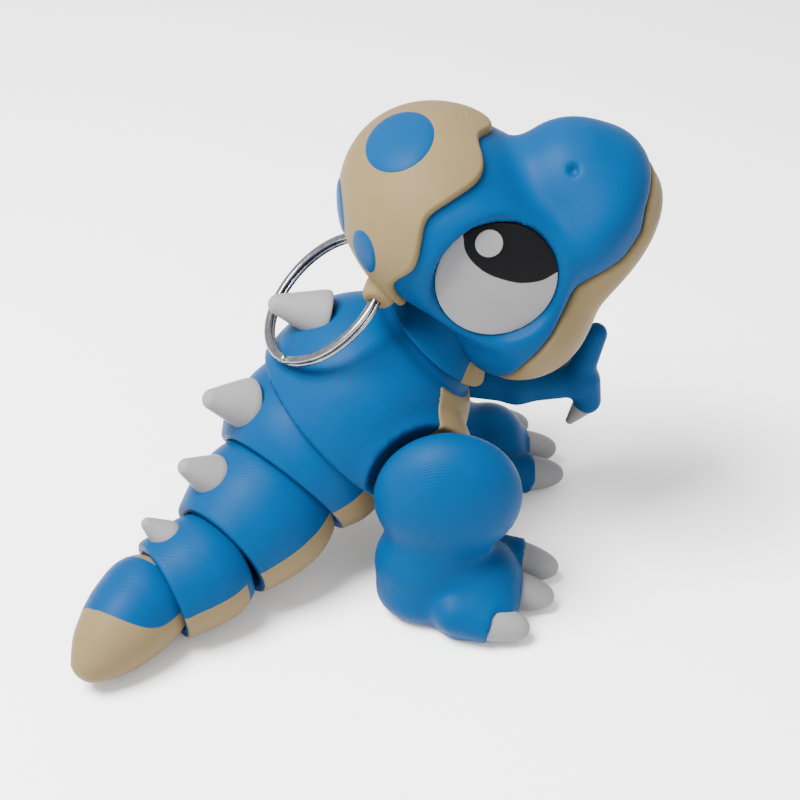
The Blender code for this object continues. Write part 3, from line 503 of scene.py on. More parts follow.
# darker than the real plastic, so that it renders in the photograph's tones under bright light
BLUE = (0.0, 0.034, 0.108)
TAN = (0.125, 0.092, 0.044)
WHITE = (0.15, 0.15, 0.153)
BLACK = (0.003, 0.003, 0.0035)

blue = plastic("blue_print", BLUE)
blue_leg = plastic("blue_print_leg", BLUE, layers=(0.05, 1.0, 0.1), pitch=0.3, depth=0.42)
tan = plastic("tan_print", TAN)
white = plastic("white_print", WHITE, rough=0.38, depth=0.35)
black = plastic("black_print", BLACK, rough=0.3, depth=0.25)
wire = steel("spring_wire")


# ---------------------------------------------------------------- body links

def socket_part(ball, dome, flat_angle, flare):
    """Captive socket, flared mouth and front dome of a link, ball centre at the origin."""
    hole = ball + GAP
    throat = math.degrees(math.asin(0.93 * ball / hole))
    mouth = dome * math.cos(math.radians(flat_angle))
    inside = arc(0, hole, 180, throat, 9)
    lip = [(mouth, 0.93 * ball + flare * mouth)]
    return inside, lip + arc(0, dome, flat_angle, 88, 12)


def skirt_part(length, ball, inner, rim_x, flat_angle):
    """Rear rim, inside of the skirt, stalk and ball of a link."""
    open_angle = math.degrees(math.acos(rim_x / inner))
    rim = inner * math.sin(math.radians(open_angle))
    front = -length + inner * math.cos(math.radians(flat_angle))
    stalk = 0.38 * ball
    rim_points = [(-length + rim_x + 0.5, rim + SKIRT_WALL), (-length + rim_x, rim + 0.8 * SKIRT_WALL)]
    inside = arc(-length, inner, open_angle, flat_angle, 12)
    inside.append((front, stalk + 0.3))
    inside += arc(-length, ball, math.degrees(math.asin(stalk / ball)), 180, 12)
    return rim_points, inside


def link_profile(socket, dome, body, rim_points, inside):
    """Dense profile of a bell-shaped link."""
    outer = [dome[-1]] + body + rim_points + [inside[0]]
    outer = fillet(outer, 0.6, 6)
    front = fillet([socket[-1]] + dome[:2], 0.5, 4)
    return socket + front[1:-1] + dome[2:-1] + outer + inside[1:]


def add_link(name, body_name, front, rear, socket, dome, body, rim_points, inside, half, over=False):
    pose = link_frame(front, rear)
    if over:
        pose = turned(pose)
    verts, faces = revolve(link_profile(socket, dome, body, rim_points, inside))
    main, second = (tan, blue) if over else (blue, tan)
    shell = add_mesh(name, place(pose, verts), faces, main, body_name, (name,))
    sharpen(shell, 60)
    if over:
        outline = dome[5:-1] + fillet([dome[-1]] + body, 0.6, 6)
    else:
        outline = dome[5:-1] + fillet([dome[-1]] + body + rim_points + [inside[0]], 0.6, 6)[:-2]
    node = name + ("_back" if over else "_belly")
    strip(node, pose, outline, half, second, body_name, rounded=over)


# name, body, front and rear ball, then the socket's ball, dome, flat angle and flare,
# the outline behind the dome, and the skirt's ball, inner radius, rim and flat angle
LINKS = [
    ("neck_collar", "collar", HEAD_BALL, NECK_BALL, 2.0, 9.2, 58, 0.42,
     [(-2.6, 9.0), (-4.6, 9.9)], 2.0, 10.5, 4.0, 45),
    ("abdomen", "abdomen", WAIST_BALL, TAIL1_BALL, 2.6, 15.05, 50, 0.85,
     [(-3.0, 15.3), (-6.5, 14.6)], 2.4, 12.7, 5.2, 29),
    ("tail_one", "tail_one", TAIL1_BALL, TAIL2_BALL, 2.4, 12.3, 54, 0.6,
     [(-3.0, 12.1), (-6.0, 11.3)], 2.0, 9.7, 4.7, 18),
    ("tail_two", "tail_two", TAIL2_BALL, TIP_BALL, 2.0, 9.3, 50, 0.65,
     [(-2.5, 9.2), (-4.5, 8.9)], 1.8, 8.0, 3.4, 25),
]


def build_links():
    for (name, body_name, front, rear, ball, dome, flat, flare,
         body, rear_ball, inner, rim, rear_flat) in LINKS:
        socket, dome_points = socket_part(ball, dome, flat, flare)
        rim_points, inside = skirt_part(span(front, rear), rear_ball, inner, rim, rear_flat)
        half = TONGUE_HALF if name == "neck_collar" else BELLY_HALF
        add_link(name, body_name, front, rear, socket, dome_points, body, rim_points, inside, half)
    socket, dome_points = socket_part(1.8, 7.6, 54, 0.95)
    length = span(TIP_BALL, TAIL_END)
    body = [(-0.6, 7.6), (-4.5, 7.3), (-8.0, 6.4)]
    tail = [(-11.5, 5.1), (-length + 2.2, 3.5), (-length + 0.5, 2.2), (-length, 1.2), (-length, 0)]
    profile_tail = fillet([body[-1]] + tail, 0.9, 6)[1:]
    add_link("tail_tip", "tail_tip", TIP_BALL, TAIL_END, socket, dome_points, body, [], profile_tail,
             BACK_HALF, over=True)


# ---------------------------------------------------------------- chest

CHEST_BODY = [(1.9, 10.2), (1.2, 11.8), (-1.0, 13.8), (-4.5, 16.0), (-9.0, 17.2), (-13.5, 17.3)]
CHEST_SKIRT = (2.6, 15.8, 4.0, 17)    # ball, inner radius, rim and flat angle, as in LINKS
STRIP_PROUD = 0.2
STRIP_DEPTH = 0.6


def chest_outline():
    socket, dome = socket_part(2.0, 10.1, 57, 0.42)
    rim_points, inside = skirt_part(span(NECK_BALL, WAIST_BALL), *CHEST_SKIRT)
    shoulder = [q for q in dome if q[0] > 2.4]
    outer = fillet([shoulder[-1]] + CHEST_BODY + rim_points + [inside[0]], 0.6, 6)
    return socket + shoulder[:-1] + outer + inside[1:]


def chest_field():
    """Chest bell with haunches, less the room its legs and arm need."""
    rot, origin = link_frame(NECK_BALL, WAIST_BALL)
    level = link_frame(NECK_BALL, WAIST_BALL, 0.0)
    length = span(NECK_BALL, WAIST_BALL)
    shell = profile_field(chest_outline())
    hollow = profile_field([(-60, 0), (-60, 30), (-length + 4.7, 30), (-length + 4.7, 16.0)]
                           + arc(-length, 16.7, 73, 0, 24))

    def field(p):
        q = (p - origin) @ rot
        x, r = q[:, 0], np.hypot(q[:, 1], q[:, 2])
        lq = (p - level[1]) @ level[0]
        out = shell(x, r)
        empty = hollow(x, r)
        for side in (-1, 1):
            seat = (HAUNCH_SEAT[0], side * HAUNCH_SEAT[1], HAUNCH_SEAT[2])
            bulge = carve(ellipsoid(lq, seat, HAUNCH_RADII), empty, 0.5)
            out = blend(out, bulge, 1.2)
            hip = hip_point(side)
            thigh = ellipsoid(p, hip + (0, side * THIGH_OUT, 0), THIGH_ROOM)
            calf = ellipsoid(p, calf_seat(side), np.array(CALF_RADII) + CALF_ROOM)
            out = carve(out, np.minimum(thigh, calf), 0.5)
        arm = capsule(p, SHOULDER, ELBOW, *ARM_ROOM)
        return carve(out, arm, 0.5)

    return field


def hip_point(side):
    return place(link_frame(NECK_BALL, WAIST_BALL, 0.0), (HIP_SEAT[0], side * HIP_SEAT[1], HIP_SEAT[2]))[0]


def calf_seat(side):
    shift, mid = FOOT_SEAT[side]
    return 3.4 + shift * 0.6, mid - side * 1.0, 10.0


def build_chest():
    verts, faces = surface_net(chest_field(), (-26, -24, 10), (16, 24, 52), 0.7)
    shell = add_mesh("chest", verts, faces, blue, "chest", ("chest",))
    sharpen(shell, 60)
    low, high = (np.array(corner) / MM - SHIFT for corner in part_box("chest_belly"))
    verts, faces = surface_net(chest_strip_field(), low - 1.5, high + 1.5, 0.45)
    add_mesh("chest_belly", verts, faces, tan, "chest", ("chest_belly",))


def chest_strip_field():
    """Thin tan shell on the chest's underside, narrower between the haunches."""
    rot, origin = link_frame(NECK_BALL, WAIST_BALL)
    rim_points, _ = skirt_part(span(NECK_BALL, WAIST_BALL), *CHEST_SKIRT)
    outer = np.array(CHEST_BODY[1:] + rim_points)[::-1]
    chest = chest_field()

    def field(p):
        q = (p - origin) @ rot
        radius = np.hypot(q[:, 1], q[:, 2])
        angle = np.abs(np.arctan2(q[:, 1], -q[:, 2]))
        skin = chest(p)
        half = np.radians(np.interp(q[:, 0], *CHEST_HALF))
        d = np.maximum(skin - STRIP_PROUD, -skin - STRIP_DEPTH)
        d = blend_max(d, (angle - half) * radius, 0.15)
        d = np.maximum(d, np.interp(q[:, 0], outer[:, 0], outer[:, 1]) - 1.1 - radius)
        return np.maximum(d, q[:, 0] - 1.6)

    return field


# ---------------------------------------------------------------- spikes, legs and arm

def claw_profile(length, base, sink):
    """Bullet shape: straight root, then a full rounded taper."""
    points = [(-sink, 0), (-sink, base), (0, base)]
    for t in np.linspace(4, 90, 22):
        s, c = math.sin(math.radians(t)), math.cos(math.radians(t))
        points.append((length * s ** 1.25, base * c ** 0.8 if t < 90 else 0))
    return points


def cone_profile(length, base, sink, tip_round):
    points = [(-sink, 0), (-sink, base), (0, base), (0.45 * length, 0.68 * base)]
    points += arc(length - tip_round, tip_round, 60, 0, 8)
    return fillet(points[:-1], 0.5, 5, 2.0) + [points[-1]]


def add_cone(name, root, direction, profile, body):
    verts, faces = revolve(profile, 64)
    pose = axis_frame(root, direction)
    return add_mesh(name, place(pose, verts), faces, white, body, (name,))


# name, body, front and rear ball, then (along, height, roll) of the root, and (length, base radius)
SPIKES = [
    ("chest_spike", "chest", NECK_BALL, WAIST_BALL, (-6.3, 15.9, -7), (8.8, 4.2)),
    ("abdomen_spike", "abdomen", WAIST_BALL, TAIL1_BALL, (-4.2, 14.9, -20), (7.6, 4.3)),
    ("tail_one_spike", "tail_one", TAIL1_BALL, TAIL2_BALL, (-4.2, 11.4, -20), (6.2, 3.6)),
    ("tail_two_spike", "tail_two", TAIL2_BALL, TIP_BALL, (-3.2, 8.5, -20), (4.6, 2.7)),
]
SPIKE_LEAN = 30
SPIKE_SINK = 1.0
CLAW_BASE = 3.3
CLAW_SINK = 2.0


def build_spikes():
    lean = math.radians(SPIKE_LEAN)
    for name, body, front, rear, (along, height, roll), (length, base) in SPIKES:
        pose = link_frame(front, rear, roll)
        root = place(pose, (along, 0, height))[0]
        direction = pose[0] @ np.array((-math.sin(lean), 0, math.cos(lean)))
        add_cone(name, root, direction, cone_profile(length, base, SPIKE_SINK, 0.42 * base), body)


def leg_field(side, hip):
    shift, mid = FOOT_SEAT[side]

    def field(p):
        thigh = ellipsoid(p, (hip[0], hip[1] + side * THIGH_OUT, hip[2]), THIGH_RADII)
        calf = ellipsoid(p, calf_seat(side), CALF_RADII)
        heel = ellipsoid(p, (3.6 + shift, mid - side * 0.8, 4.0), (8.2, 6.8, 5.2))
        toes = rounded_box(p, (11.6 + shift, mid + side * 0.2, 3.6), (6.6, 8.6, 5.0), 4.0)
        instep = ellipsoid(p, (12.0 + shift, mid - side * 0.5, 6.2), (7.0, 7.2, 6.6))
        d = blend(calf, blend(blend(heel, toes, 3.0), instep, 3.0), 3.0)
        for root, tip in toe_claws(side):
            way = (np.array(tip) - root) / np.linalg.norm(np.array(tip) - root)
            knuckle = capsule(p, root - 5.0 * way, root + 0.6 * way, 3.5, 3.75)
            d = blend(d, np.maximum(knuckle, (p - root) @ way - 1.0), 1.2)
        peg = capsule(p, hip, hip + (0, side * 8.5, 0), 1.1, 1.1)
        knob = np.linalg.norm(p - hip, axis=1) - 2.1
        d = np.minimum(blend(thigh, d, 3.4), np.minimum(peg, knob))
        return -blend(-d, p[:, 2], 0.35)

    return field


def toe_claws(side):
    if side < 0:
        tips = [(26.2, -14.9), (24.6, -22.2), (19.8, -29.6)]
    else:
        tips = [(30.2, 11.4), (29.8, 19.3), (25.4, 27.0)]
    turn = (0.96, side * 0.28)
    roots = [(x - 7.6 * turn[0], y - 7.6 * turn[1] * 0.6) for x, y in tips]
    return [((rx, ry, 3.9), (tx, ty, 2.4)) for (rx, ry), (tx, ty) in zip(roots, tips)]


def build_leg(name, side):
    hip = hip_point(side)
    low = (-14, min(side * 3, side * 36), -2.6)
    high = (36, max(side * 3, side * 36), 42)
    verts, faces = surface_net(leg_field(side, hip), low, high, 0.8)
    verts[:, 2] = np.maximum(verts[:, 2], 0)
    add_mesh(name, verts, faces, blue_leg, name, (name,))
    for i, (root, tip) in enumerate(toe_claws(side)):
        way = np.array(tip) - np.array(root)
        profile = claw_profile(float(np.linalg.norm(way)), CLAW_BASE, CLAW_SINK)
        add_cone("%s_claw_%s" % (name, ("inner", "middle", "outer")[i]), root, way, profile, name)


def arm_field(p):
    d = capsule(p, SHOULDER, ELBOW, *ARM_RADII)
    d = blend(d, capsule(p, ELBOW, (30, 8.6, 25.0), 3.1, 2.8), 1.5)
    d = blend(d, capsule(p, (31, 8.6, 26.5), (33.6, 8.8, 34.5), 2.7, 2.0), 1.5)
    return blend(d, capsule(p, (32.2, 8.6, 25.0), (33.0, 8.6, 21.0), 2.9, 2.5), 1.5)


def build_arm():
    verts, faces = surface_net(arm_field, (2, 2, 14), (40, 16, 42), 0.6)
    add_mesh("arm_left", verts, faces, blue_leg, "arm_left", ("arm_left",))
    claw = cone_profile(5.0, 2.1, 1.2, 0.8)
    add_cone("arm_left_claw", (32.6, 8.6, 20.2), (-3.0, 0.0, -4.6), claw, "arm_left")


# ---------------------------------------------------------------- head

MOUTH = [(-40, -8.4), (-4.2, -8.4), (0, -7.0), (6, -5.8), (12, -5.7), (16, -5.3), (19.5, -4.4),
         (22.5, -5.2), (27, -6.9), (31.5, -6.9), (34.5, -5.2), (45, -4.2), (60, -4.2)]
MOUTH_LIP = 0.9                   # rounding of both lips
HEAD_CELL = 0.62                  # mesh size of the skull and the jaw
CAP_CORE = (10.0, 0.0, 8.5)
CAP_THICK = 1.3
# (azimuth, elevation) in degrees of the broken edge, seen from the cap's core
CAP_EDGE = [(-180, 8), (-158, 9), (-140, 14), (-122, 32), (-106, 33), (-97, 30), (-85, 35),
            (-71, 41.5), (-55, 36), (-40, 30), (-30, 30), (-18, 35), (-9, 37), (2, 28),
            (16, 26), (30, 33), (46, 40), (62, 36), (78, 28), (95, 33), (112, 40), (128, 28),
            (145, 12), (165, 9)]
# point under each spot, its two radii and its turn
SPOTS = {
    "cap_spot_large": ((17.5, -3.4, 27.0), (6.4, 5.2), 20.0),
    "cap_spot_rear": ((2.6, -0.8, 27.9), (4.6, 3.6), 0.0),
    "cap_spot_low": ((3.4, -10.9, 23.6), (3.4, 2.7), 30.0),
}
EYE_RADIUS = 9.15
EYE_OFFSET = -1.1                 # the eye's middle lies a little behind the line from its core
EYE_TOP = 15.9                    # height of the eye's dome above its core
EYE_BEVEL = 0.06                  # how far the rim of an eye piece drops
BEVEL_WIDTH = 0.05                # share of the piece that drops
EYE_CENTRE = (14.8, 15.5, 7.2)
EYE_CORE = (13.0, 0.0, 6.5)
GAZE = (0.98, 0.0, 0.12)
# lower edge of the pupil, rear corner first, as (up, across) from the eye's middle
PUPIL_EDGE = [(3.6, 8.41), (1.8, 7.0), (0.75, 4.8), (0.5, 2.0), (1.0, -1.0), (1.9, -3.6), (3.6, -5.9),
              (5.7, -7.16)]
GLINT = (4.53, 4.56)
GLINT_RADIUS = 2.05
NOSTRIL = (31.9, 7.8, 7.3)
NOSTRIL_RADIUS = 0.95
HEAD_FRAME = pose_matrix(HEAD_BALL, *HEAD_POSE)


def head_field(p):
    """Skull, cheeks, throat and bulbous snout in head coordinates."""
    skull = ellipsoid(p, (12.0, 0, 13.1), (14.2, 18.0, 17.3))
    throat = ellipsoid(p, (7.9, 0, -4.2), (12.8, 17.4, 12.9))
    snout = ellipsoid(p, (25.2, 0, -1.5), (13.5, 14.8, 8.7))
    bridge = ellipsoid(p, (26.9, 0, 4.4), (9.7, 9.2, 8.0))
    jaw = ellipsoid(p, (21.0, 0, -7.9), (14.9, 12.0, 5.5))
    d = blend(skull, throat, 5.0)
    d = blend(d, bridge, 4.0)
    d = blend(d, snout, 5.0)
    return blend(d, jaw, 4.0)


def mouth_side(p):
    """Height above the mouth line, measured at right angles to it."""
    line = np.array(MOUTH)
    z = np.interp(p[:, 0], line[:, 0], line[:, 1])
    slope = (np.interp(p[:, 0] + 0.6, line[:, 0], line[:, 1])
             - np.interp(p[:, 0] - 0.6, line[:, 0], line[:, 1])) / 1.2
    return (p[:, 2] - z) / np.sqrt(1 + slope ** 2)


def neck_hollow():
    front = 10.8 * math.cos(math.radians(45))
    points = [(-40, 0), (-2.0, 0)] + arc(0, 2.0, 160, 31, 8) + [(front, 1.3)]
    points += arc(0, 10.8, 45, 110, 16) + [(-5.0, 11.4), (-40, 32.2)]
    inside = profile_field(points)
    return lambda p: inside(p[:, 0], np.hypot(p[:, 1], p[:, 2]))


def skull_field():
    hollow = neck_hollow()

    def field(p):
        d = carve(head_field(p), hollow(p), 0.4)
        for side in (-1, 1):
            axes = eye_axes(side)
            q = (p - np.array(EYE_CORE) - axes[:, 1] * EYE_OFFSET) @ axes
            around = np.hypot(q[:, 1], q[:, 2])
            above = eye_height(np.minimum(around, 12.0), 0) - q[:, 0]
            mound = blend_max(around - EYE_RADIUS - 1.0, -above + 0.25, 1.5)
            mound = np.maximum(mound, 6.0 - q[:, 0])
            d = blend(d, mound, 4.0)
            pocket = np.maximum(around - EYE_RADIUS - 0.04, above - 1.2)
            d = carve(d, blend_max(around - EYE_RADIUS - 0.6, above - 0.1, 1.0), 1.6)
            d = carve(d, pocket, 0.1)
            seat = np.array((NOSTRIL[0], side * NOSTRIL[1], NOSTRIL[2]))
            d = carve(d, np.linalg.norm(p - seat, axis=1) - NOSTRIL_RADIUS, 0.3)
        return carve(d, mouth_side(p) - 0.06, MOUTH_LIP)

    return field


def jaw_field():
    hollow = neck_hollow()

    def field(p):
        d = carve(head_field(p), hollow(p), 0.4)
        return carve(d, -mouth_side(p) - 0.06, MOUTH_LIP)

    return field


def patch(centre, axis, outline, inner, outer, rings=16):
    """Closed slab over the head skin, round-edged by outer(edge)."""
    centre = np.array(centre, float)
    rot, _ = axis_frame((0, 0, 0), axis)
    reach = radial_depth(head_field, centre, rot[:, 0][None], 60)[0]
    outline = np.array(outline, float)
    middle = outline.mean(axis=0)
    grow = 1 - (1 - np.arange(1, rings + 1) / rings) ** 1.8
    points = [middle]
    for k in grow:
        points += list(middle + (outline - middle) * k)
    points = np.array(points)
    rays = rot[:, 0] * reach + points[:, :1] * rot[:, 1] + points[:, 1:] * rot[:, 2]
    rays /= np.linalg.norm(rays, axis=1)[:, None]
    depth = radial_depth(head_field, centre, rays, 60)
    edge = np.repeat(np.concatenate([[0.0], grow]), [1] + [len(outline)] * rings)
    top = centre + rays * (depth + outer(edge))[:, None]
    low = centre + rays * (depth + inner)[:, None]
    return np.concatenate([top, low]), slab_faces(len(outline), rings)


def slab_faces(n, rings):
    """Faces of two stacked polar grids joined along their rims."""
    total = 1 + n * rings
    faces = []
    for i in range(n):
        j = (i + 1) % n
        faces.append((0, 1 + i, 1 + j))
        faces.append((total, total + 1 + j, total + 1 + i))
        for k in range(rings - 1):
            a, b = 1 + k * n, 1 + (k + 1) * n
            faces.append((a + i, b + i, b + j, a + j))
            faces.append((total + a + j, total + b + j, total + b + i, total + a + i))
        last = 1 + (rings - 1) * n
        faces.append((last + i, total + last + i, total + last + j, last + j))
    return faces


def oval(centre, radii, turn=0.0, count=72):
    angles = np.arange(count) * math.tau / count
    c, s = math.cos(math.radians(turn)), math.sin(math.radians(turn))
    a = radii[0] * np.cos(angles)
    b = radii[1] * np.sin(angles)
    return np.stack([centre[0] + c * a - s * b, centre[1] + s * a + c * b], axis=1)


def smooth_line(points, count):
    """Catmull-Rom curve through the points."""
    p = np.array([points[0]] + list(points) + [points[-1]], float)
    out = []
    for i in range(1, len(p) - 2):
        for t in np.linspace(0, 1, count, endpoint=False):
            out.append(0.5 * (2 * p[i] + (p[i + 1] - p[i - 1]) * t
                              + (2 * p[i - 1] - 5 * p[i] + 4 * p[i + 1] - p[i + 2]) * t ** 2
                              + (3 * p[i] - p[i - 1] - 3 * p[i + 1] + p[i + 2]) * t ** 3))
    return out


def eye_axes(side):
    """Rotation whose first column looks out of the eye, and the eye's up and rearward directions."""
    axis = np.array(EYE_CENTRE) * (1, side, 1) - np.array(EYE_CORE)
    rot, _ = axis_frame((0, 0, 0), axis)
    up = rot.T @ np.array(GAZE)
    up[0] = 0
    up /= np.linalg.norm(up)
    across = np.array((0, -up[2], up[1])) * -side
    return np.stack([rot[:, 0], rot @ up, rot @ across], axis=1)


def eye_height(a, b):
    """Gentle dome of the eye above its core."""
    return EYE_TOP - (a * a + b * b) / 90.0


def eye_disc(side, outline, drop, lift, rings):
    """Slab whose top follows the eye's dome; outline in (up, across) from the eye's middle."""
    outline = np.array(outline)
    middle = outline.mean(axis=0)
    grow = 1 - (1 - np.arange(1, rings + 1) / rings) ** 1.8
    points = np.array([middle] + [q for k in grow for q in middle + (outline - middle) * k])
    edge = np.repeat(np.concatenate([[0.0], grow]), [1] + [len(outline)] * rings)
    axes = eye_axes(side)
    core = np.array(EYE_CORE) + axes[:, 1] * EYE_OFFSET
    height = eye_height(points[:, 0], points[:, 1])
    bevel = EYE_BEVEL * np.maximum(edge - (1 - BEVEL_WIDTH), 0) / BEVEL_WIDTH
    top = np.stack([height + lift - bevel, points[:, 0], points[:, 1]], 1)
    low = np.stack([height - drop, points[:, 0], points[:, 1]], 1)
    verts = core + np.concatenate([top, low]) @ axes.T
    return verts, slab_faces(len(outline), rings)


def build_eye(name, side):
    lower = smooth_line(PUPIL_EDGE, 10)
    first, last = (math.atan2(q[1], q[0]) for q in (PUPIL_EDGE[0], PUPIL_EDGE[-1]))
    rim = [(EYE_RADIUS * math.cos(t), EYE_RADIUS * math.sin(t)) for t in np.linspace(last, first, 60)]
    rest = [(EYE_RADIUS * math.cos(t), EYE_RADIUS * math.sin(t))
            for t in np.linspace(last, first - math.tau, 120)]
    pieces = [("pupil", rim + lower[1:], 0.05, black, "black_plastic"),
              ("white", rest + lower[1:], 0.0, white, "white_plastic")]
    for part, outline, lift, mat, slot in pieces:
        node = "eye_%s_%s" % (name, part)
        verts, faces = eye_disc(side, outline, 3.0, lift, 20)
        sharpen(add_mesh(node, place(HEAD_FRAME, verts), faces, mat, "head", (node,)))
    node = "eye_%s_glint" % name
    verts, faces = eye_disc(side, oval(GLINT, (GLINT_RADIUS, GLINT_RADIUS), 0, 48), 0.5, 0.3, 10)
    add_mesh(node, place(HEAD_FRAME, verts), faces, white, "head", (node,))


def cap_edge(azimuth):
    """Smooth closed curve through the cap edge points."""
    knots = np.array(CAP_EDGE + [(180, CAP_EDGE[0][1])], float)
    i = np.clip(np.searchsorted(knots[:, 0], azimuth, side="right") - 1, 0, len(knots) - 2)
    t = (azimuth - knots[i, 0]) / (knots[i + 1, 0] - knots[i, 0])
    t = t * t * (3 - 2 * t)
    edge = knots[i, 1] * (1 - t) + knots[i + 1, 1] * t
    for _ in range(5):
        edge = (np.roll(edge, 3) + edge + np.roll(edge, -3)) / 3
    return np.radians(edge)


def build_cap():
    columns, rings = 360, 54
    core = np.array(CAP_CORE)
    azimuth = np.linspace(-180, 180, columns, endpoint=False)
    edge = cap_edge(azimuth)
    az = np.radians(azimuth)
    grow = 1 - (1 - np.arange(1, rings + 1) / rings) ** 1.5
    dirs = [np.array((0.0, 0.0, 1.0))]
    for k in grow:
        polar = (math.pi / 2 - edge) * k
        ring = np.stack([np.sin(polar) * np.cos(az), np.sin(polar) * np.sin(az), np.cos(polar)], 1)
        dirs += list(ring)
    dirs = np.array(dirs)
    depth = radial_depth(head_field, core, dirs, 60)
    level = np.repeat(np.concatenate([[0.0], grow]), [1] + [columns] * rings)
    run = np.clip((1 - level) * 26.0 / 0.75, 0, 1)
    swell = 0.35 + 0.65 * np.sqrt(1 - (1 - run) ** 2)
    top = core + dirs * (depth + CAP_THICK * swell)[:, None]
    low = core + dirs * (depth - 0.1)[:, None]
    verts = place(HEAD_FRAME, np.concatenate([top, low]))
    add_mesh("eggshell_cap", verts, slab_faces(columns, rings), tan, "head",
             ("eggshell_cap",))
    for name, (spot, radii, turn) in SPOTS.items():
        axis = np.array(spot) - core
        verts, faces = patch(CAP_CORE, axis, oval((0, 0), radii, turn, 96), CAP_THICK - 0.5,
                             lambda e: CAP_THICK + 0.3 - 0.22 * e ** 8, 14)
        add_mesh(name, place(HEAD_FRAME, verts), faces, blue, "head", (name,))


def build_head():
    verts, faces = surface_net(skull_field(), (-16, -24, -24), (46, 24, 36), HEAD_CELL)
    add_mesh("head", place(HEAD_FRAME, verts), faces, blue, "head", ("head",))
    verts, faces = surface_net(jaw_field(), (-16, -24, -24), (46, 24, 6), HEAD_CELL)
    add_mesh("jaw", place(HEAD_FRAME, verts), faces, tan, "head", ("jaw",))
    build_eye("right", -1)
    build_eye("left", 1)
    build_cap()


# ---------------------------------------------------------------- key ring

def ring_frame():
    normal = np.array(RING_NORMAL)
    normal /= np.linalg.norm(normal)
    level = np.cross(normal, (0, 1, 0))
    level /= np.linalg.norm(level)
    return np.stack([level, np.cross(normal, level), normal], axis=1), np.array(RING_CENTRE)


def build_ring():
    """Two stacked turns of flattened wire, crossing over where its two ends butt."""
    steps, sides = 640, 20
    start = math.radians(WIRE_END)
    verts = []
    for i in range(steps + 1):
        t = 2 * math.tau * i / steps
        rise = np.clip((t - math.tau) / 0.45 + 0.5, 0, 1)
        rise = rise * rise * (3 - 2 * rise)
        z = (2 * rise - 1) * (WIRE[1] + 0.015)
        end = min(i, steps - i)
        grow = 1.0 if end > 2 else (0.55, 0.85, 0.96)[end]
        for k in range(sides):
            s = math.tau * k / sides
            c, n = math.cos(s), math.sin(s)
            across = WIRE[0] * math.copysign(abs(c) ** 0.75, c) * grow
            along = WIRE[1] * math.copysign(abs(n) ** 0.75, n) * grow
            r = RING_RADIUS + across
            a = start + t
            verts.append((r * math.cos(a), r * math.sin(a), z + along))
    faces = []
    for i in range(steps):
        for k in range(sides):
            a, b = i * sides, (i + 1) * sides
            k2 = (k + 1) % sides
            faces.append((a + k, b + k, b + k2, a + k2))
    faces.append(tuple(range(sides)))
    faces.append(tuple(steps * sides + k for k in reversed(range(sides))))
    add_mesh("split_ring", place(ring_frame(), verts), faces, wire, "ring", ("split_ring",))


def build_nub():
    """Tan boss of the cap that the wire enters."""
    a = math.radians(RING_ENTRY)
    b = math.radians(RING_ENTRY + 8)
    entry, ahead = (place(ring_frame(), (RING_RADIUS * math.cos(t), RING_RADIUS * math.sin(t), 0))[0]
                    for t in (a, b))
    profile = fillet([(-2.6, 0), (-2.6, 1.8), (-1.6, 2.5), (0.9, 2.6), (1.8, 2.0), (1.8, 0)], 0.6, 6)
    verts, faces = revolve(profile, 48)
    add_mesh("cap_boss", place(axis_frame(entry, entry - ahead), verts), faces, tan, "head")


# ---------------------------------------------------------------- stage

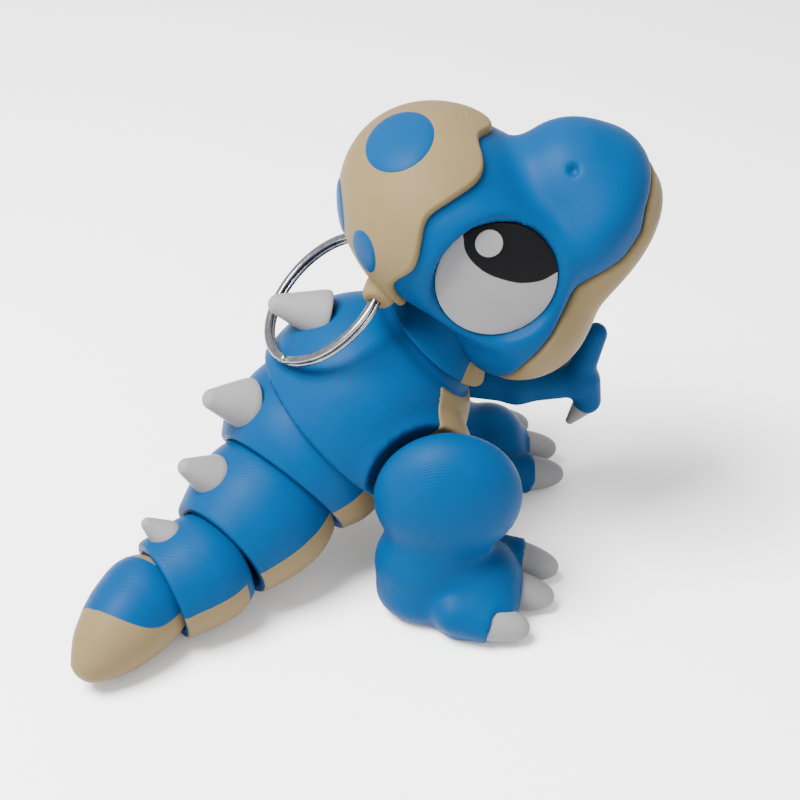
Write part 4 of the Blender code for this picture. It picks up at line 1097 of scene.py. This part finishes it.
def build_stage():
    mesh = bpy.data.meshes.new("floor")
    s = 3.0
    mesh.from_pydata([(-s, -s, 0), (s, -s, 0), (s, s, 0), (-s, s, 0)], [], [(0, 1, 2, 3)])
    floor = bpy.data.objects.new("floor", mesh)
    bpy.context.scene.collection.objects.link(floor)
    floor.location.z = -0.0001
    mat = bpy.data.materials.new("pale_paper")
    mat.use_nodes = True
    nodes = mat.node_tree.nodes
    shader = nodes["Principled BSDF"]
    noise = nodes.new("ShaderNodeTexNoise")
    noise.inputs["Scale"].default_value = 40.0
    tint = nodes.new("ShaderNodeMixRGB")
    tint.inputs["Color1"].default_value = (0.92, 0.92, 0.925, 1)
    tint.inputs["Color2"].default_value = (0.95, 0.95, 0.955, 1)
    mat.node_tree.links.new(noise.outputs["Fac"], tint.inputs["Fac"])
    mat.node_tree.links.new(tint.outputs["Color"], shader.inputs["Base Color"])
    shader.inputs["Roughness"].default_value = 0.8
    mesh.materials.append(mat)


def add_light(name, place_at, target, size, power):
    data = bpy.data.lights.new(name, 'AREA')
    data.size = size
    data.energy = power
    light = bpy.data.objects.new(name, data)
    bpy.context.scene.collection.objects.link(light)
    light.location = place_at
    light.rotation_euler = (Vector(target) - Vector(place_at)).to_track_quat('-Z', 'Y').to_euler()


def build_lights():
    world = bpy.data.worlds.new("studio")
    bpy.context.scene.world = world
    world.use_nodes = True
    back = world.node_tree.nodes["Background"]
    back.inputs["Color"].default_value = (1.0, 1.0, 1.0, 1)
    back.inputs["Strength"].default_value = 1.25
    target = (0.0, 0.0, 0.03)
    add_light("key", (-0.22, -0.10, 0.50), target, size=0.26, power=14.0)
    add_light("fill", (0.25, -0.45, 0.30), target, size=0.40, power=1.2)


CAMERA_AZIMUTH = -2
CAMERA_ELEVATION = 35
CAMERA_REACH = 0.260
CAMERA_TARGET = (0.0, 3.9, 25.0)
SENSOR = 36.0
LENS = 68.445


def build_camera():
    """Telephoto view of the animal's right side from above."""
    az, el = math.radians(CAMERA_AZIMUTH), math.radians(CAMERA_ELEVATION)
    target = Vector((np.array(CAMERA_TARGET) + SHIFT) * MM)
    back = Vector((math.sin(az) * math.cos(el), -math.cos(az) * math.cos(el), math.sin(el)))
    data = bpy.data.cameras.new("camera")
    data.sensor_width = SENSOR
    data.lens = LENS
    data.clip_start = 0.01
    camera = bpy.data.objects.new("camera", data)
    bpy.context.scene.collection.objects.link(camera)
    camera.location = target + back * CAMERA_REACH
    camera.rotation_euler = (-back).to_track_quat('-Z', 'Y').to_euler()
    bpy.context.scene.camera = camera


build_links()
build_chest()
build_spikes()
build_leg("leg_right", -1)
build_leg("leg_left", 1)
build_arm()
build_head()
build_ring()
build_nub()
build_stage()
build_lights()
build_camera()
